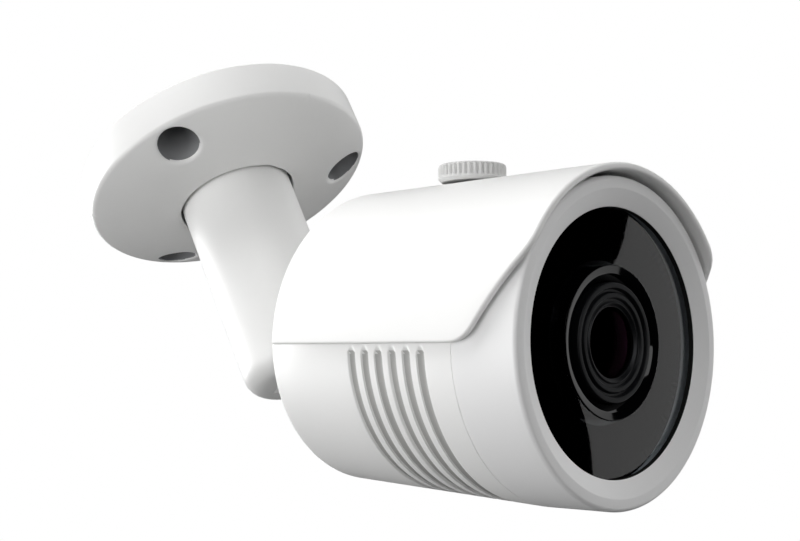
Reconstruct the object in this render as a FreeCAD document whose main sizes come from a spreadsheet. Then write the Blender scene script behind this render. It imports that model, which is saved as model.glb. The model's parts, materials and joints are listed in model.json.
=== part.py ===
import FreeCAD, Part
import os
import re
import Sketcher
from FreeCAD import Placement, Rotation, Vector

# Bullet security camera hanging from a round ceiling plate, in millimetres.
#
# Row frame: the origin is the centre of the plate's mounting face, +Z points up into the ceiling
# and +X is the side that the camera looks to. The arm hangs down along -Z and pans about it. At
# its lower end the knuckle tilts about Y, and the camera rolls on the knuckle about its own axis.
#
# Three working frames are used, each with its own +X along the axis that its parts are turned on:
#   MOUNT  +X down the arm from the mounting face, +Z to the front
#   CAMERA +X along the camera's axis from the tilt pivot, +Z to the top of the camera
#   CROSS  +X along the tilt axis, to the left
# A turned part is a closed outline of (along, out) corners spun about that +X axis.

# Driving dimensions. A value that starts with "=" follows from the others.
SIZES = {
    # mounting plate
    "plate_radius": 38.2,
    "plate_rim": 10.0,
    "plate_crown": 5.9,
    "plate_bore": 15.7,
    "plate_chamfer": 0.6,
    "crown_arc": "=((plate_radius - plate_bore)^2 + plate_crown^2) / (2 * plate_crown)",
    "hole_inset": 6.6,
    "hole_circle": "=plate_radius - hole_inset",
    "counterbore": 5.1,
    "counterbore_floor": 3.2,
    "screw_hole": 2.25,
    "pocket_wall": 1.5,
    "pocket_radius": "=hole_circle - counterbore - pocket_wall",
    "pocket_depth": 6.5,
    "ledge": 4.5,
    "seat_radius": "=pocket_radius - ledge",
    "seat_depth": 11.0,
    "gasket_width": 2.0,
    "gasket_inset": 1.3,
    "gasket_depth": 1.2,
    "gasket_fit": 0.05,
    # arm and its bearing in the plate
    "turn_gap": 0.5,
    "flange_radius": "=seat_radius - turn_gap",
    "flange_thick": 3.3,
    "washer_thick": 1.1,
    "flange_front": "=seat_depth - washer_thick",
    "flange_back": "=flange_front - flange_thick",
    "arm_root": 15.0,
    "arm_tip": 14.6,
    "pivot_drop": 61.0,
    "arm_beyond": 9.6,
    "arm_end": "=pivot_drop + arm_beyond",
    "tip_round": 4.8,
    "cable_bore": 6.5,
    "slot_width": 11.0,
    "slot_back": 7.3,
    "slot_roof": 8.5,
    "slot_top": "=pivot_drop - slot_roof",
    # retaining ring behind the arm, with its screws, and the pan lock
    "ring_hole": 12.5,
    "ring_thick": 2.4,
    "ring_play": 0.2,
    "ring_back": "=pocket_depth - ring_thick",
    "ring_screw_circle": "=(pocket_radius + seat_radius) / 2",
    "small_shank": 1.2,
    "small_head": 1.9,
    "small_head_thick": 1.5,
    "small_bite": 5.5,
    "small_key": 0.7,
    "small_key_deep": 0.8,
    "thread_gap": 0.05,
    "clearance": 0.2,
    "grub_radius": 1.5,
    "grub_length": 9.0,
    "grub_tip_gap": 0.3,
    "grub_point": 0.7,
    "grub_key": 0.75,
    "grub_key_deep": 2.0,
    "grub_bite": 0.5,
    # tilt bolt
    "bolt_radius": 2.5,
    "bolt_fit": 0.05,
    "bolt_head": 4.0,
    "bolt_head_thick": 3.6,
    "cheek_seat": 10.2,
    "bolt_reach": 10.4,
    "hex_key": 1.5,
    "hex_deep": 2.0,
    "head_chamfer": 0.3,
    # knuckle and the roll bearing
    "rest_tilt": 30.8,
    "tongue_gap": 0.2,
    "tongue_half": "=slot_width / 2 - tongue_gap",
    "eye_radius": 6.8,
    "neck_half": 5.6,
    "swivel_start": 18.3,
    "swivel_thick": 4.0,
    "swivel_radius": 14.0,
    "swivel_front": "=swivel_start + swivel_thick",
    "swivel_chamfer": 1.2,
    "swivel_washer_thick": 0.8,
    "swivel_washer_inset": 0.4,
    "boss_start": "=swivel_front + swivel_washer_thick",
    "spigot_radius": 8.0,
    "spigot_fit": 0.05,
    "boss_length": 4.8,
    "clip_thick": 1.0,
    "clip_radius": 10.4,
    "clip_groove": 7.2,
    "spigot_tail": 1.2,
    "spigot_chamfer": 0.5,
    "clip_fit": 0.05,
    # camera shell
    "tail_start": 30.3,
    "housing_length": 56.4,
    "ring_length": 15.6,
    "seam": "=tail_start + housing_length",
    "face": "=seam + ring_length",
    "seam_radius": 33.3,
    "tail_radius": 31.35,
    "tail_round": 1.5,
    "shell_wall": 4.35,
    "cavity": "=tail_radius - shell_wall",
    "seat_wall": 2.95,
    "cap_seat": "=tail_radius - seat_wall",
    "cap_recess": 4.7,
    "cap_inset": 1.2,
    "lip_thick": 3.0,
    "lip_width": 3.4,
    "cap_back": "=tail_start + cap_inset",
    "cap_front": "=tail_start + cap_recess",
    "lip_front": "=cap_front + lip_thick",
    "lug_radius": 3.0,
    "lug_inset": 3.4,
    "lug_circle": "=cavity - lug_inset",
    "lug_length": 6.0,
    "spigot_depth": 6.7,
    "carrier_thick": 2.0,
    "shoulder": "=seam - spigot_depth - carrier_thick",
    # cooling grooves round the lower half of the housing
    "groove_count": 6,
    "groove_first": 8.4,
    "groove_pitch": 4.1,
    "groove_width": 2.1,
    "groove_rise": 0.15,
    "groove_below": 2.0,
    # rear cap
    "boss_radius": 14.0,
    "boss_hollow": 11.2,
    "seal_section": 1.4,
    "seal_depth": 1.1,
    "cap_shank": 1.45,
    "cap_head": 2.5,
    "cap_head_thick": 1.1,
    "cap_bite": 7.0,
    "cap_key": 0.8,
    "cap_key_deep": 0.7,
    "seal_gap": 0.02,
    "gland_low": 19.4,
    "gland_radius": 4.6,
    "gland_thread": 3.6,
    "gland_way": 2.2,
    "gland_out": 7.0,
    "gland_nut": 5.4,
    "gland_nut_thick": 2.6,
    "gland_beyond": 1.0,
    "gland_dome": 2.0,
    "gland_dome_in": 1.2,
    # front ring, window and its seal
    "ring_radius": 33.0,
    "ring_round": 0.8,
    "band_width": 2.5,
    "bevel_width": 3.6,
    "bevel_depth": 1.5,
    "lip_depth": 1.2,
    "opening": "=ring_radius - band_width - bevel_width",
    "glass_overlap": 1.6,
    "glass_fit": 0.1,
    "glass_thick": 3.0,
    "glass_front": "=face - bevel_depth - lip_depth",
    "glass_back": "=glass_front - glass_thick",
    "glass_radius": "=opening + glass_overlap",
    "window_hole": 15.5,
    "seal_thick": 1.2,
    "seal_inset": 0.3,
    "retainer_thick": 2.6,
    "retainer_inset": 1.0,
    "retainer_inner": "=opening - retainer_inset",
    "thread_spare": 1.0,
    "spigot_wall": 2.2,
    "front_seal_back": 4.2,
    "front_seal_long": 1.6,
    "front_seal_deep": 1.3,
    # sunshield, its spacer and the thumb screw
    "shield_gap": 0.64,
    "shield_thick": 1.5,
    "shield_inner": "=seam_radius + shield_gap",
    "shield_outer": "=shield_inner + shield_thick",
    "shield_tail": 5.5,
    "shield_chin": 14.4,
    "shield_visor": 2.0,
    "shield_slant": 55.0,
    "chin_round": 7.0,
    "brow_round": 8.0,
    "stud_back": 40.1,
    "stud_at": "=face - stud_back",
    "stud_radius": 1.95,
    "stud_deep": 5.0,
    "stud_fit": 0.05,
    "stud_spare": 1.2,
    "stud_side_gap": 0.25,
    "shield_travel": 3.0,
    "knob_radius": 7.54,
    "knob_tall": 3.9,
    "knob_skirt": 1.0,
    "knob_flutes": 38,
    "flute_radius": 0.42,
    "flute_out": 0.12,
    "knob_top_edge": 0.5,
    "knob_foot_edge": 0.6,
    "knob_lift": 0.1,
    "pad_radius": 6.0,
    "pad_gap": 0.1,
    "pad_bore_gap": 0.3,
    # bezel in the window's hole, lens and its light shield
    "bezel_proud": 0.3,
    "bezel_step": 13.8,
    "bezel_step_back": 0.1,
    "bezel_inner_back": 1.2,
    "bezel_flange": 1.0,
    "bezel_flange_thick": 0.8,
    "bezel_back": "=glass_back - bezel_flange_thick",
    "hood_inner": 12.3,
    "hood_outer": 13.5,
    "lens_head": 12.0,
    "lens_rim": 0.9,
    "lens_proud": 0.5,
    "lens_cone": 0.8,
    "lens_window": 7.3,
    "lens_head_length": 12.5,
    "lens_barrel": 6.9,
    "lens_thread": 5.9,
    "lens_length": 30.5,
    "lens_edge": 0.3,
    "lens_thread_spare": 5.5,
    "cell_deep": 4.0,
    "cell_lip": 0.15,
    "cell_fit": 0.05,
    "cone_front": 5.4,
    "cone_back": 3.9,
    "rear_cell": 3.4,
    "rear_cell_deep": 2.0,
    "front_glass": "=lens_window - cell_lip - cell_fit",
    "front_glass_bulge": 1.2,
    "front_glass_deep": 3.6,
    "front_glass_proud": 0.7,
    "rear_glass": 3.3,
    "rear_glass_set": 0.3,
    "rear_glass_thick": 1.6,
    "lock_ring_gap": 0.2,
    "hood_gap": 0.1,
    "lens_lip": "=glass_front + lens_proud",
    "lens_end": "=lens_lip - lens_length",
    "lock_ring_outer": 8.6,
    "lock_ring_thick": 2.0,
    # infra-red lamps
    "led_drop": 6.4,
    "led_face": "=glass_back - led_drop",
    "board_thick": 1.6,
    "led_count": 12,
    "led_radius": 2.5,
    "led_foot": 2.9,
    "led_foot_thick": 1.0,
    "led_tall": 5.4,
    "led_circle": "=(hood_outer + retainer_inner) / 2",
    "led_board_edge": 0.6,
    "sensor_tall": 1.6,
    "sensor_edge": 0.4,
    "sensor_top": 2.2,
    "board_hole_gap": 0.1,
    "post_radius": 1.9,
    "led_post_circle": 21.0,
    # image board, main board and what is on them
    "board_gap": 1.4,
    "board_half": "=(cavity - board_gap) / sqrt(2)",
    "post_inset": 2.4,
    "post_extra": 0.2,
    "post_circle": "=(board_half - post_inset) * sqrt(2)",
    "sensor_gap": 8.6,
    "image_face": "=lens_end - sensor_gap",
    "chip_half": 4.2,
    "chip_thick": 1.5,
    "holder_half": 9.0,
    "holder_reach": 5.0,
    "sensor_room": 5.4,
    "holder_top": "=lens_end + holder_reach",
    "shuttle_back": 3.2,
    "shuttle_thick": 0.8,
    "shuttle_gap": 0.3,
    "shuttle_half": 4.4,
    "shuttle_long": 14.6,
    "shuttle_travel": 6.4,
    "window_half": 2.9,
    "pane_gap": 0.02,
    "pane_inset": 0.1,
    "coil_radius": 2.4,
    "coil_long": 7.0,
    "main_back": "=(lip_front + image_face - board_thick) / 2 - board_thick / 2",
    "chip_side": 7.0,
    "processor_across": 2.5,
    "processor_up": 1.5,
    "processor_thick": 1.2,
    "heat_pad_thick": 0.8,
    "heat_pad_inset": 1.0,
    "socket_across": 9.0,
    "socket_low": 10.0,
    "socket_wide": 8.0,
    "socket_high": 4.5,
    "socket_tall": 2.8,
    "pot_radius": 2.0,
    "pot_pitch": 5.6,
    "pot_low": 10.0,
    "pot_tall": 2.4,
}

DOC = FreeCAD.newDocument("SecurityCamera")
SHEET = DOC.addObject("Spreadsheet::Sheet", "Sizes")
PARTS = []


def fill_sheet():
    """Write every driving dimension to the sheet as text, with its name as alias."""
    for row, (name, value) in enumerate(SIZES.items(), start=1):
        SHEET.set("A%d" % row, name)
        SHEET.set("B%d" % row, str(value))
        SHEET.setAlias("B%d" % row, name)
    DOC.recompute()


def num(formula):
    """The present value of a formula of sheet names."""
    return float(SHEET.evalExpression(str(formula)))


def bind(thing, prop, formula):
    """Tie a property of an object to a formula of sheet names."""
    words = re.sub(r"[a-z_]{4,}", lambda m: "Sizes." + m.group() if m.group() in SIZES else m.group(),
                   str(formula))
    thing.setExpression(prop, words)


def turn(axis, degrees):
    """A rotation about one axis through the origin."""
    return Placement(Vector(0, 0, 0), Rotation(axis, degrees))


def shift(x=0, y=0, z=0):
    """A move by formulas of sheet names."""
    return Placement(Vector(num(x), num(y), num(z)), Rotation())


def working_frames():
    """The MOUNT, CAMERA, CROSS and KNOB frames in the row frame."""
    drop = shift(z="-pivot_drop")
    mount = turn(Vector(0, 1, 0), 90)
    camera = drop * turn(Vector(0, 1, 0), num("rest_tilt"))
    cross = drop * turn(Vector(0, 0, 1), 90)
    knob = camera * shift(x="stud_at") * turn(Vector(0, 1, 0), -90)
    return mount, camera, cross, knob


def new_body(label, frame):
    """An empty PartDesign body that stands in one of the working frames."""
    body = DOC.addObject("PartDesign::Body", label)
    body.Label = label
    body.AllowCompound = True
    body.Placement = frame
    PARTS.append(body)
    return body


def origin_item(body, role):
    """One of the body's own origin planes or axes."""
    return next(item for item in body.Origin.OriginFeatures if item.Role == role)


def new_sketch(body, role="XZ_Plane", depth="0"):
    """A sketch on one of the body's origin planes, moved along its normal by a formula."""
    sketch = body.newObject("Sketcher::SketchObject", "Sketch")
    sketch.AttachmentSupport = [(origin_item(body, role), "")]
    sketch.MapMode = "FlatFace"
    if depth != "0":
        sketch.AttachmentOffset = shift(z=depth)
        bind(sketch, "AttachmentOffset.Base.z", depth)
    return sketch


def fix_point(sketch, geo, pos, across, up):
    """Pin one point of a sketch to two formulas, measured from the sketch's origin."""
    for kind, formula, line in (("DistanceX", across, -2), ("DistanceY", up, -1)):
        value = num(formula)
        if abs(value) < 1e-9:
            sketch.addConstraint(Sketcher.Constraint("PointOnObject", geo, pos, line))
        else:
            index = sketch.addConstraint(Sketcher.Constraint(kind, -1, 1, geo, pos, value))
            bind(sketch, "Constraints[%d]" % index, formula)


def arc_between(start, end, radius):
    """The shorter arc from start to end; a positive radius turns left on the way, a negative one right."""
    chord = end - start
    left = Vector(-chord.y, chord.x, 0).normalize()
    rise = (radius ** 2 - (chord.Length / 2) ** 2) ** 0.5
    centre = (start + end) * 0.5 + left * (rise if radius > 0 else -rise)
    first, last = (start, end) if radius > 0 else (end, start)
    circle = Part.Circle(centre, Vector(0, 0, 1), abs(radius))
    return Part.ArcOfCircle(circle, circle.parameter(first), circle.parameter(last))


def draw_outline(sketch, corners):
    """A closed outline of (across, up) corners; a third value is the radius of the arc that leaves it."""
    points = [Vector(num(c[0]), num(c[1]), 0) for c in corners]
    ends = []
    for index, corner in enumerate(corners):
        start, end = points[index], points[(index + 1) % len(points)]
        if len(corner) == 3:
            radius = num(corner[2])
            geo = sketch.addGeometry(arc_between(start, end, radius))
            ends.append((geo, 1, 2) if radius > 0 else (geo, 2, 1))
        else:
            ends.append((sketch.addGeometry(Part.LineSegment(start, end)), 1, 2))
    for index, (geo, first, last) in enumerate(ends):
        after = ends[(index + 1) % len(ends)]
        sketch.addConstraint(Sketcher.Constraint("Coincident", geo, last, after[0], after[1]))
        fix_point(sketch, geo, first, corners[index][0], corners[index][1])
        if len(corners[index]) == 3:
            radius = corners[index][2]
            mark = sketch.addConstraint(Sketcher.Constraint("Radius", geo, abs(num(radius))))
            bind(sketch, "Constraints[%d]" % mark, "abs(%s)" % radius)


def draw_circles(sketch, circles):
    """Full circles, each of (across, up, radius) formulas."""
    for across, up, radius in circles:
        middle = Vector(num(across), num(up), 0)
        geo = sketch.addGeometry(Part.Circle(middle, Vector(0, 0, 1), num(radius)))
        mark = sketch.addConstraint(Sketcher.Constraint("Radius", geo, num(radius)))
        bind(sketch, "Constraints[%d]" % mark, radius)
        fix_point(sketch, geo, 3, across, up)


def spin_axis(sketch, height):
    """The sketch's own horizontal axis, or a construction line parallel to it at a height."""
    if height == "0":
        return (sketch, ["H_Axis"])
    level = num(height)
    geo = sketch.addGeometry(Part.LineSegment(Vector(0, level, 0), Vector(10, level, 0)), True)
    sketch.addConstraint(Sketcher.Constraint("Horizontal", geo))
    sketch.addConstraint(Sketcher.Constraint("DistanceX", geo, 1, geo, 2, 10))
    fix_point(sketch, geo, 1, "0", height)
    return (sketch, ["Axis0"])


def spin(body, corners, kind="Revolution", height="0"):
    """Turn an outline all the way round an axis parallel to +X, to add or to cut (Groove)."""
    sketch = new_sketch(body)
    axis = spin_axis(sketch, height)
    draw_outline(sketch, corners)
    feature = body.newObject("PartDesign::" + kind, kind)
    feature.Profile = sketch
    feature.ReferenceAxis = axis
    feature.Angle = 360
    DOC.recompute()
    return feature


def repeat(body, features, count):
    """Repeat features evenly round the body's +X axis."""
    pattern = body.newObject("PartDesign::PolarPattern", "Pattern")
    pattern.Originals = features
    pattern.Axis = (origin_item(body, "X_Axis"), [""])
    pattern.Angle = 360
    bind(pattern, "Occurrences", count)
    body.Tip = pattern
    DOC.recompute()
    return pattern


def turned(label, frame, corners, height="0", count="1"):
    """A part that is one outline spun about an axis, repeated round +X where there are several."""
    body = new_body(label, frame)
    feature = spin(body, corners, height=height)
    if count != "1":
        repeat(body, [feature], count)
    return body


def washer(label, frame, start, end, inner, outer):
    """A flat ring between two places along the axis."""
    return turned(label, frame, rectangle(start, end, inner, outer))


def rectangle(left, right, low, high):
    """The four corners of a rectangle, anticlockwise."""
    return [(left, low), (right, low), (right, high), (left, high)]


def pin_cut(body, radius, start, length, direction, at=("0", "0", "0")):
    """Cut a round hole from a place on an axis through the point at, along a direction."""
    hole = body.newObject("PartDesign::SubtractiveCylinder", "Hole")
    bind(hole, "Radius", radius)
    bind(hole, "Height", length)
    base = Vector(num(at[0]), num(at[1]), num(at[2])) + direction * num(start)
    hole.Placement = Placement(base, Rotation(Vector(0, 0, 1), direction))
    DOC.recompute()
    return hole


def peg_circle(body, kind, radius, length, start, circle, count=3):
    """Round pegs (Additive) or holes (Subtractive) parallel to +X, evenly round a circle from +Z."""
    for index in range(count):
        peg = body.newObject("PartDesign::%sCylinder" % kind, "Peg")
        bind(peg, "Radius", radius)
        bind(peg, "Height", length)
        spoke = Rotation(Vector(1, 0, 0), 360.0 * index / count).multVec(Vector(0, 0, num(circle)))
        peg.Placement = Placement(Vector(num(start), 0, 0) + spoke,
                                  Rotation(Vector(0, 0, 1), Vector(1, 0, 0)))
    DOC.recompute()


def extrude(body, role, depth, draw, length, kind="Pad", both=False, back=False):
    """Pad or pocket a sketch that draw fills in, one way or to both sides of its plane."""
    sketch = new_sketch(body, role, depth)
    draw(sketch)
    feature = body.newObject("PartDesign::" + kind, kind)
    feature.Profile = sketch
    bind(feature, "Length", length)
    feature.SideType = "Symmetric" if both else "One side"
    feature.Reversed = back
    DOC.recompute()
    return feature


def screw_corners(seat, shank, reach, head, head_thick, key_deep, key_radius, height="0"):
    """A cap screw's half section: head behind the seat, shank beyond it, key recess in the head."""
    def up(value):
        return "%s + %s" % (height, value)
    back = "%s - %s" % (seat, head_thick)
    return [("%s + %s" % (back, key_deep), height), ("%s + %s" % (seat, reach), height),
            ("%s + %s" % (seat, reach), up(shank)), (seat, up(shank)), (seat, up(head)),
            ("%s + head_chamfer" % back, up(head)), (back, up("%s - head_chamfer" % head)),
            (back, up(key_radius)), ("%s + %s" % (back, key_deep), up(key_radius))]


# ---- ceiling plate, bearing of the arm --------------------------------------------------------

def mounting_plate(frame):
    """Domed round plate with three deep counterbores, a bearing pocket behind and a seal groove."""
    body = new_body("mounting_plate", frame)
    crown = "plate_rim + plate_crown"
    spin(body, [("0", "pocket_radius"), ("pocket_depth", "pocket_radius"),
                ("pocket_depth", "seat_radius"), ("seat_depth", "seat_radius"),
                ("seat_depth", "plate_bore"), (crown, "plate_bore", "-crown_arc"),
                ("plate_rim", "plate_radius"), ("plate_chamfer", "plate_radius"),
                ("0", "plate_radius - plate_chamfer")])
    groove_out = "plate_radius - gasket_inset"
    spin(body, rectangle("0", "gasket_depth", groove_out + " - gasket_width", groove_out), "Groove")
    peg_circle(body, "Subtractive", "counterbore", crown, "counterbore_floor", "hole_circle")
    peg_circle(body, "Subtractive", "screw_hole", "plate_rim", "-1", "hole_circle")
    peg_circle(body, "Subtractive", "small_shank + thread_gap", "small_bite + grub_tip_gap", "pocket_depth",
               "ring_screw_circle")
    pin_cut(body, "grub_radius + thread_gap", "seat_radius - grub_bite", "plate_radius", Vector(0, -1, 0),
            ("(flange_back + flange_front) / 2", "0", "0"))
    return body


def plate_bearing(frame):
    """What holds the arm in the plate: friction washer, retaining ring, its screws and the pan lock."""
    groove_out = "plate_radius - gasket_inset"
    washer("back_gasket", frame, "0", "gasket_depth - gasket_fit",
           groove_out + " - gasket_width + gasket_fit", groove_out + " - gasket_fit")
    washer("friction_washer", frame, "flange_front", "seat_depth", "plate_bore + ring_play",
           "seat_radius - ring_play")
    ring = new_body("retaining_ring", frame)
    spin(ring, rectangle("ring_back", "pocket_depth", "ring_hole", "pocket_radius - ring_play"))
    peg_circle(ring, "Subtractive", "small_shank + clearance", "ring_thick + 2", "ring_back - 1",
               "ring_screw_circle")
    turned("ring_screws", frame,
           screw_corners("ring_back", "small_shank", "ring_thick + small_bite", "small_head",
                         "small_head_thick", "small_key_deep", "small_key", "ring_screw_circle"),
           height="ring_screw_circle", count="3")


def pan_lock(frame):
    """Hexagon socket set screw in the plate's rim that locks the arm's flange."""
    height = "(flange_back + flange_front) / 2"
    seat = "flange_radius + grub_tip_gap"
    tail = seat + " + grub_length"
    key_end = tail + " - grub_key_deep"
    local = frame * shift(x=height) * turn(Vector(0, 0, 1), -90)
    turned("pan_lock_screw", local,
           [(seat, "0"), (key_end, "0"), (key_end, "grub_key"), (tail, "grub_key"),
            (tail, "grub_radius"), ("%s + grub_point" % seat, "grub_radius"),
            (seat, "grub_radius - grub_point")])


def arm_part(frame):
    """Hanging arm: flange in the plate, slightly tapered barrel, cable bore, forked lower end."""
    body = new_body("arm", frame)
    bend = "arm_end - tip_round"
    spin(body, [("flange_back", "cable_bore"), ("slot_top + 1", "cable_bore"), ("slot_top + 1", "0"),
                ("arm_end", "0"), ("arm_end", "arm_tip - tip_round", "tip_round"), (bend, "arm_tip"),
                ("flange_front", "arm_root"), ("flange_front", "flange_radius"),
                ("flange_back", "flange_radius")])
    extrude(body, "XZ_Plane", "0",
            lambda s: draw_outline(s, rectangle("slot_top", "arm_end + 1", "-slot_back", "arm_root + 1")),
            "slot_width", "Pocket", both=True)
    pin_cut(body, "bolt_radius + bolt_fit", "-bolt_reach - 0.2", "bolt_reach + arm_root + 1",
            Vector(0, 1, 0), ("pivot_drop", "0", "0"))
    pin_cut(body, "bolt_head + clearance", "cheek_seat", "arm_root", Vector(0, 1, 0),
            ("pivot_drop", "0", "0"))
    return body


def tilt_bolt(frame):
    """Socket head bolt through the fork's cheeks: the knuckle turns on its shank."""
    reach = "cheek_seat + bolt_reach"
    corners = screw_corners("0", "bolt_radius", reach, "bolt_head", "bolt_head_thick", "hex_deep",
                            "hex_key")
    local = frame * shift(x="cheek_seat") * turn(Vector(0, 0, 1), 180)
    return turned("tilt_bolt", local, corners)


# ---- knuckle and roll bearing -----------------------------------------------------------------

def knuckle(frame):
    """Tongue with its eye, swivel flange and the spigot that the camera rolls on."""
    body = new_body("knuckle", frame)
    clip_back = "boss_start + boss_length"
    spigot_end = "%s + clip_thick + spigot_tail" % clip_back
    clip_front = "%s + clip_thick" % clip_back
    spin(body, [("swivel_start", "0"), (spigot_end, "0"), (spigot_end, "spigot_radius - spigot_chamfer"),
                ("%s - spigot_chamfer" % spigot_end, "spigot_radius"), (clip_front, "spigot_radius"),
                (clip_front, "clip_groove"), (clip_back, "clip_groove"), (clip_back, "spigot_radius"),
                ("swivel_front", "spigot_radius"), ("swivel_front", "swivel_radius"),
                ("swivel_start + swivel_chamfer", "swivel_radius"),
                ("swivel_start", "swivel_radius - swivel_chamfer")])
    extrude(body, "XZ_Plane", "0", lambda s: draw_circles(s, [("0", "0", "eye_radius")]),
            "2 * tongue_half", both=True)
    extrude(body, "XZ_Plane", "0",
            lambda s: draw_outline(s, rectangle("0", "swivel_start + 1", "-neck_half", "neck_half")),
            "2 * tongue_half", both=True)
    pin_cut(body, "bolt_radius + bolt_fit", "-slot_width", "2 * slot_width", Vector(0, 1, 0))
    return body


def roll_bearing(frame):
    """Nylon washer in front of the swivel flange and the clip that keeps the spigot in the cap."""
    washer("swivel_washer", frame, "swivel_front", "boss_start", "spigot_radius + ring_play",
           "swivel_radius - swivel_washer_inset")
    clip_back = "boss_start + boss_length"
    washer("spigot_clip", frame, clip_back + " + clip_fit", clip_back + " + clip_thick - clip_fit",
           "clip_groove + clip_fit", "clip_radius")


# ---- camera shell -----------------------------------------------------------------------------

def rear_cap(frame):
    """Cap screwed into the back of the housing, with the boss that runs on the spigot."""
    body = new_body("rear_cap", frame)
    edge = "cap_seat - clearance"
    web = "boss_start + boss_length"
    spin(body, [("boss_start", "spigot_radius + spigot_fit"), (web, "spigot_radius + spigot_fit"),
                (web, "boss_hollow"), ("cap_front", "boss_hollow"), ("cap_front", edge),
                ("cap_back", edge), ("cap_back", "boss_radius"), ("boss_start", "boss_radius")])
    middle = "(lug_circle + lug_radius + cap_seat) / 2"
    spin(body, rectangle("cap_front - seal_depth", "cap_front", middle + " - seal_section / 2",
                         middle + " + seal_section / 2"), "Groove")
    peg_circle(body, "Subtractive", "cap_shank + clearance", "cap_recess + 2", "cap_back - 1",
               "lug_circle")
    pin_cut(body, "gland_thread + thread_gap", "0", "cap_recess + 2", Vector(1, 0, 0),
            ("cap_back - 1", "0", "-gland_low"))
    return body


def rear_fittings(frame):
    """Screws, seal and cable gland of the rear cap."""
    turned("cap_screws", frame,
           screw_corners("cap_back", "cap_shank", "cap_front - cap_back + cap_bite", "cap_head",
                         "cap_head_thick", "cap_key_deep", "cap_key", "lug_circle"),
           height="lug_circle", count="3")
    middle = "(lug_circle + lug_radius + cap_seat) / 2"
    washer("rear_seal", frame, "cap_front - seal_depth + seal_gap", "cap_front",
           middle + " - seal_section / 2 + gasket_fit", middle + " + seal_section / 2 - gasket_fit")
    low = frame * shift(z="-gland_low")
    mouth = "cap_back - gland_out"
    inner_end = "cap_front + gland_nut_thick + gland_beyond"
    turned("cable_gland", low,
           [(mouth, "gland_way"), (inner_end, "gland_way"), (inner_end, "gland_thread"),
            ("cap_back", "gland_thread"), ("cap_back", "gland_radius"),
            (mouth + " + gland_dome", "gland_radius"), (mouth, "gland_radius - gland_dome_in")])
    nut = new_body("gland_nut", low)
    spin(nut, rectangle("cap_front", "cap_front + gland_nut_thick", "gland_thread + thread_gap",
                        "gland_nut"))


def groove_outline(index):
    """Half-round cooling groove number index: an arc whose middle stands just off the tapered wall."""
    along = "seam - groove_first - %d * groove_pitch" % index
    wall = "seam_radius - (seam_radius - tail_radius) * (groove_first + %d * groove_pitch)" % index
    return along, wall + " / housing_length + groove_rise", "groove_width / 2"


def housing(frame):
    """Tapered shell: stepped bore, lip and lugs for the rear cap, cooling grooves, stud hole."""
    body = new_body("housing", frame)
    spin(body, [("tail_start", "cap_seat"), ("cap_front", "cap_seat"),
                ("cap_front", "cap_seat - lip_width"), ("lip_front", "cap_seat - lip_width"),
                ("lip_front", "cavity"), ("shoulder", "cavity"), ("shoulder", "cap_seat"),
                ("seam", "cap_seat"), ("seam", "seam_radius"),
                ("tail_start + tail_round", "tail_radius", "tail_round"),
                ("tail_start", "tail_radius - tail_round")])
    peg_circle(body, "Additive", "lug_radius", "lug_length", "cap_front", "lug_circle")
    peg_circle(body, "Subtractive", "cap_shank + thread_gap", "cap_bite + 1", "cap_front - 0.5",
               "lug_circle")
    sketch = new_sketch(body, "XY_Plane")
    draw_circles(sketch, [groove_outline(index) for index in range(int(num("groove_count")))])
    cut = body.newObject("PartDesign::Groove", "CoolingGrooves")
    cut.Profile = sketch
    cut.ReferenceAxis = (sketch, ["H_Axis"])
    bind(cut, "Angle", "180 - 2 * groove_below")
    cut.Reversed = True
    DOC.recompute()
    pin_cut(body, "stud_radius + stud_fit", "0", "2 * stud_deep", Vector(0, 0, 1),
            ("stud_at", "0", "shield_inner - stud_deep - stud_spare"))
    return body


def front_ring(frame):
    """Screwed front ring: rounded face band, inner bevel, lip over the window and a sealed spigot."""
    body = new_body("front_ring", frame)
    spigot = "cap_seat - gasket_fit"
    tail = "seam - spigot_depth"
    lip = "face - bevel_depth"
    thread = "glass_back - seal_thick - retainer_thick - thread_spare"
    spin(body, [(tail, "cap_seat - spigot_wall"), (thread, "cap_seat - spigot_wall"),
                (thread, "glass_radius + glass_fit"),
                ("glass_front", "glass_radius + glass_fit"), ("glass_front", "opening"),
                (lip, "opening"), ("face", "ring_radius - band_width"),
                ("face", "ring_radius - ring_round", "ring_round"), ("face - ring_round", "ring_radius"),
                ("seam", "seam_radius"), ("seam", spigot), (tail, spigot)])
    groove = "seam - front_seal_back"
    spin(body, rectangle(groove, groove + " + front_seal_long", "cap_seat - front_seal_deep",
                         "cap_seat + 1"), "Groove")
    return body


def window_group(frame):
    """Window, the bezel in its hole, its seal, the threaded retainer and the seal on the spigot."""
    groove = "seam - front_seal_back"
    washer("front_seal", frame, groove + " + gasket_fit",
           groove + " + front_seal_long - gasket_fit", "cap_seat - front_seal_deep + gasket_fit",
           "cap_seat - seal_gap")
    washer("front_window", frame, "glass_back", "glass_front", "window_hole", "glass_radius")
    hole = "window_hole - glass_fit"
    turned("lens_bezel", frame,
           [("bezel_back", "hood_inner"), ("glass_front - bezel_inner_back", "hood_inner"),
            ("glass_front - bezel_step_back", "bezel_step"), ("glass_front + bezel_proud", hole),
            ("glass_back", hole), ("glass_back", "window_hole + bezel_flange"),
            ("bezel_back", "window_hole + bezel_flange")])
    washer("window_seal", frame, "glass_back - seal_thick", "glass_back", "retainer_inner + seal_inset",
           "glass_radius")
    washer("window_retainer", frame, "glass_back - seal_thick - retainer_thick",
           "glass_back - seal_thick", "retainer_inner", "glass_radius + gasket_fit")


# ---- sunshield --------------------------------------------------------------------------------

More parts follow.
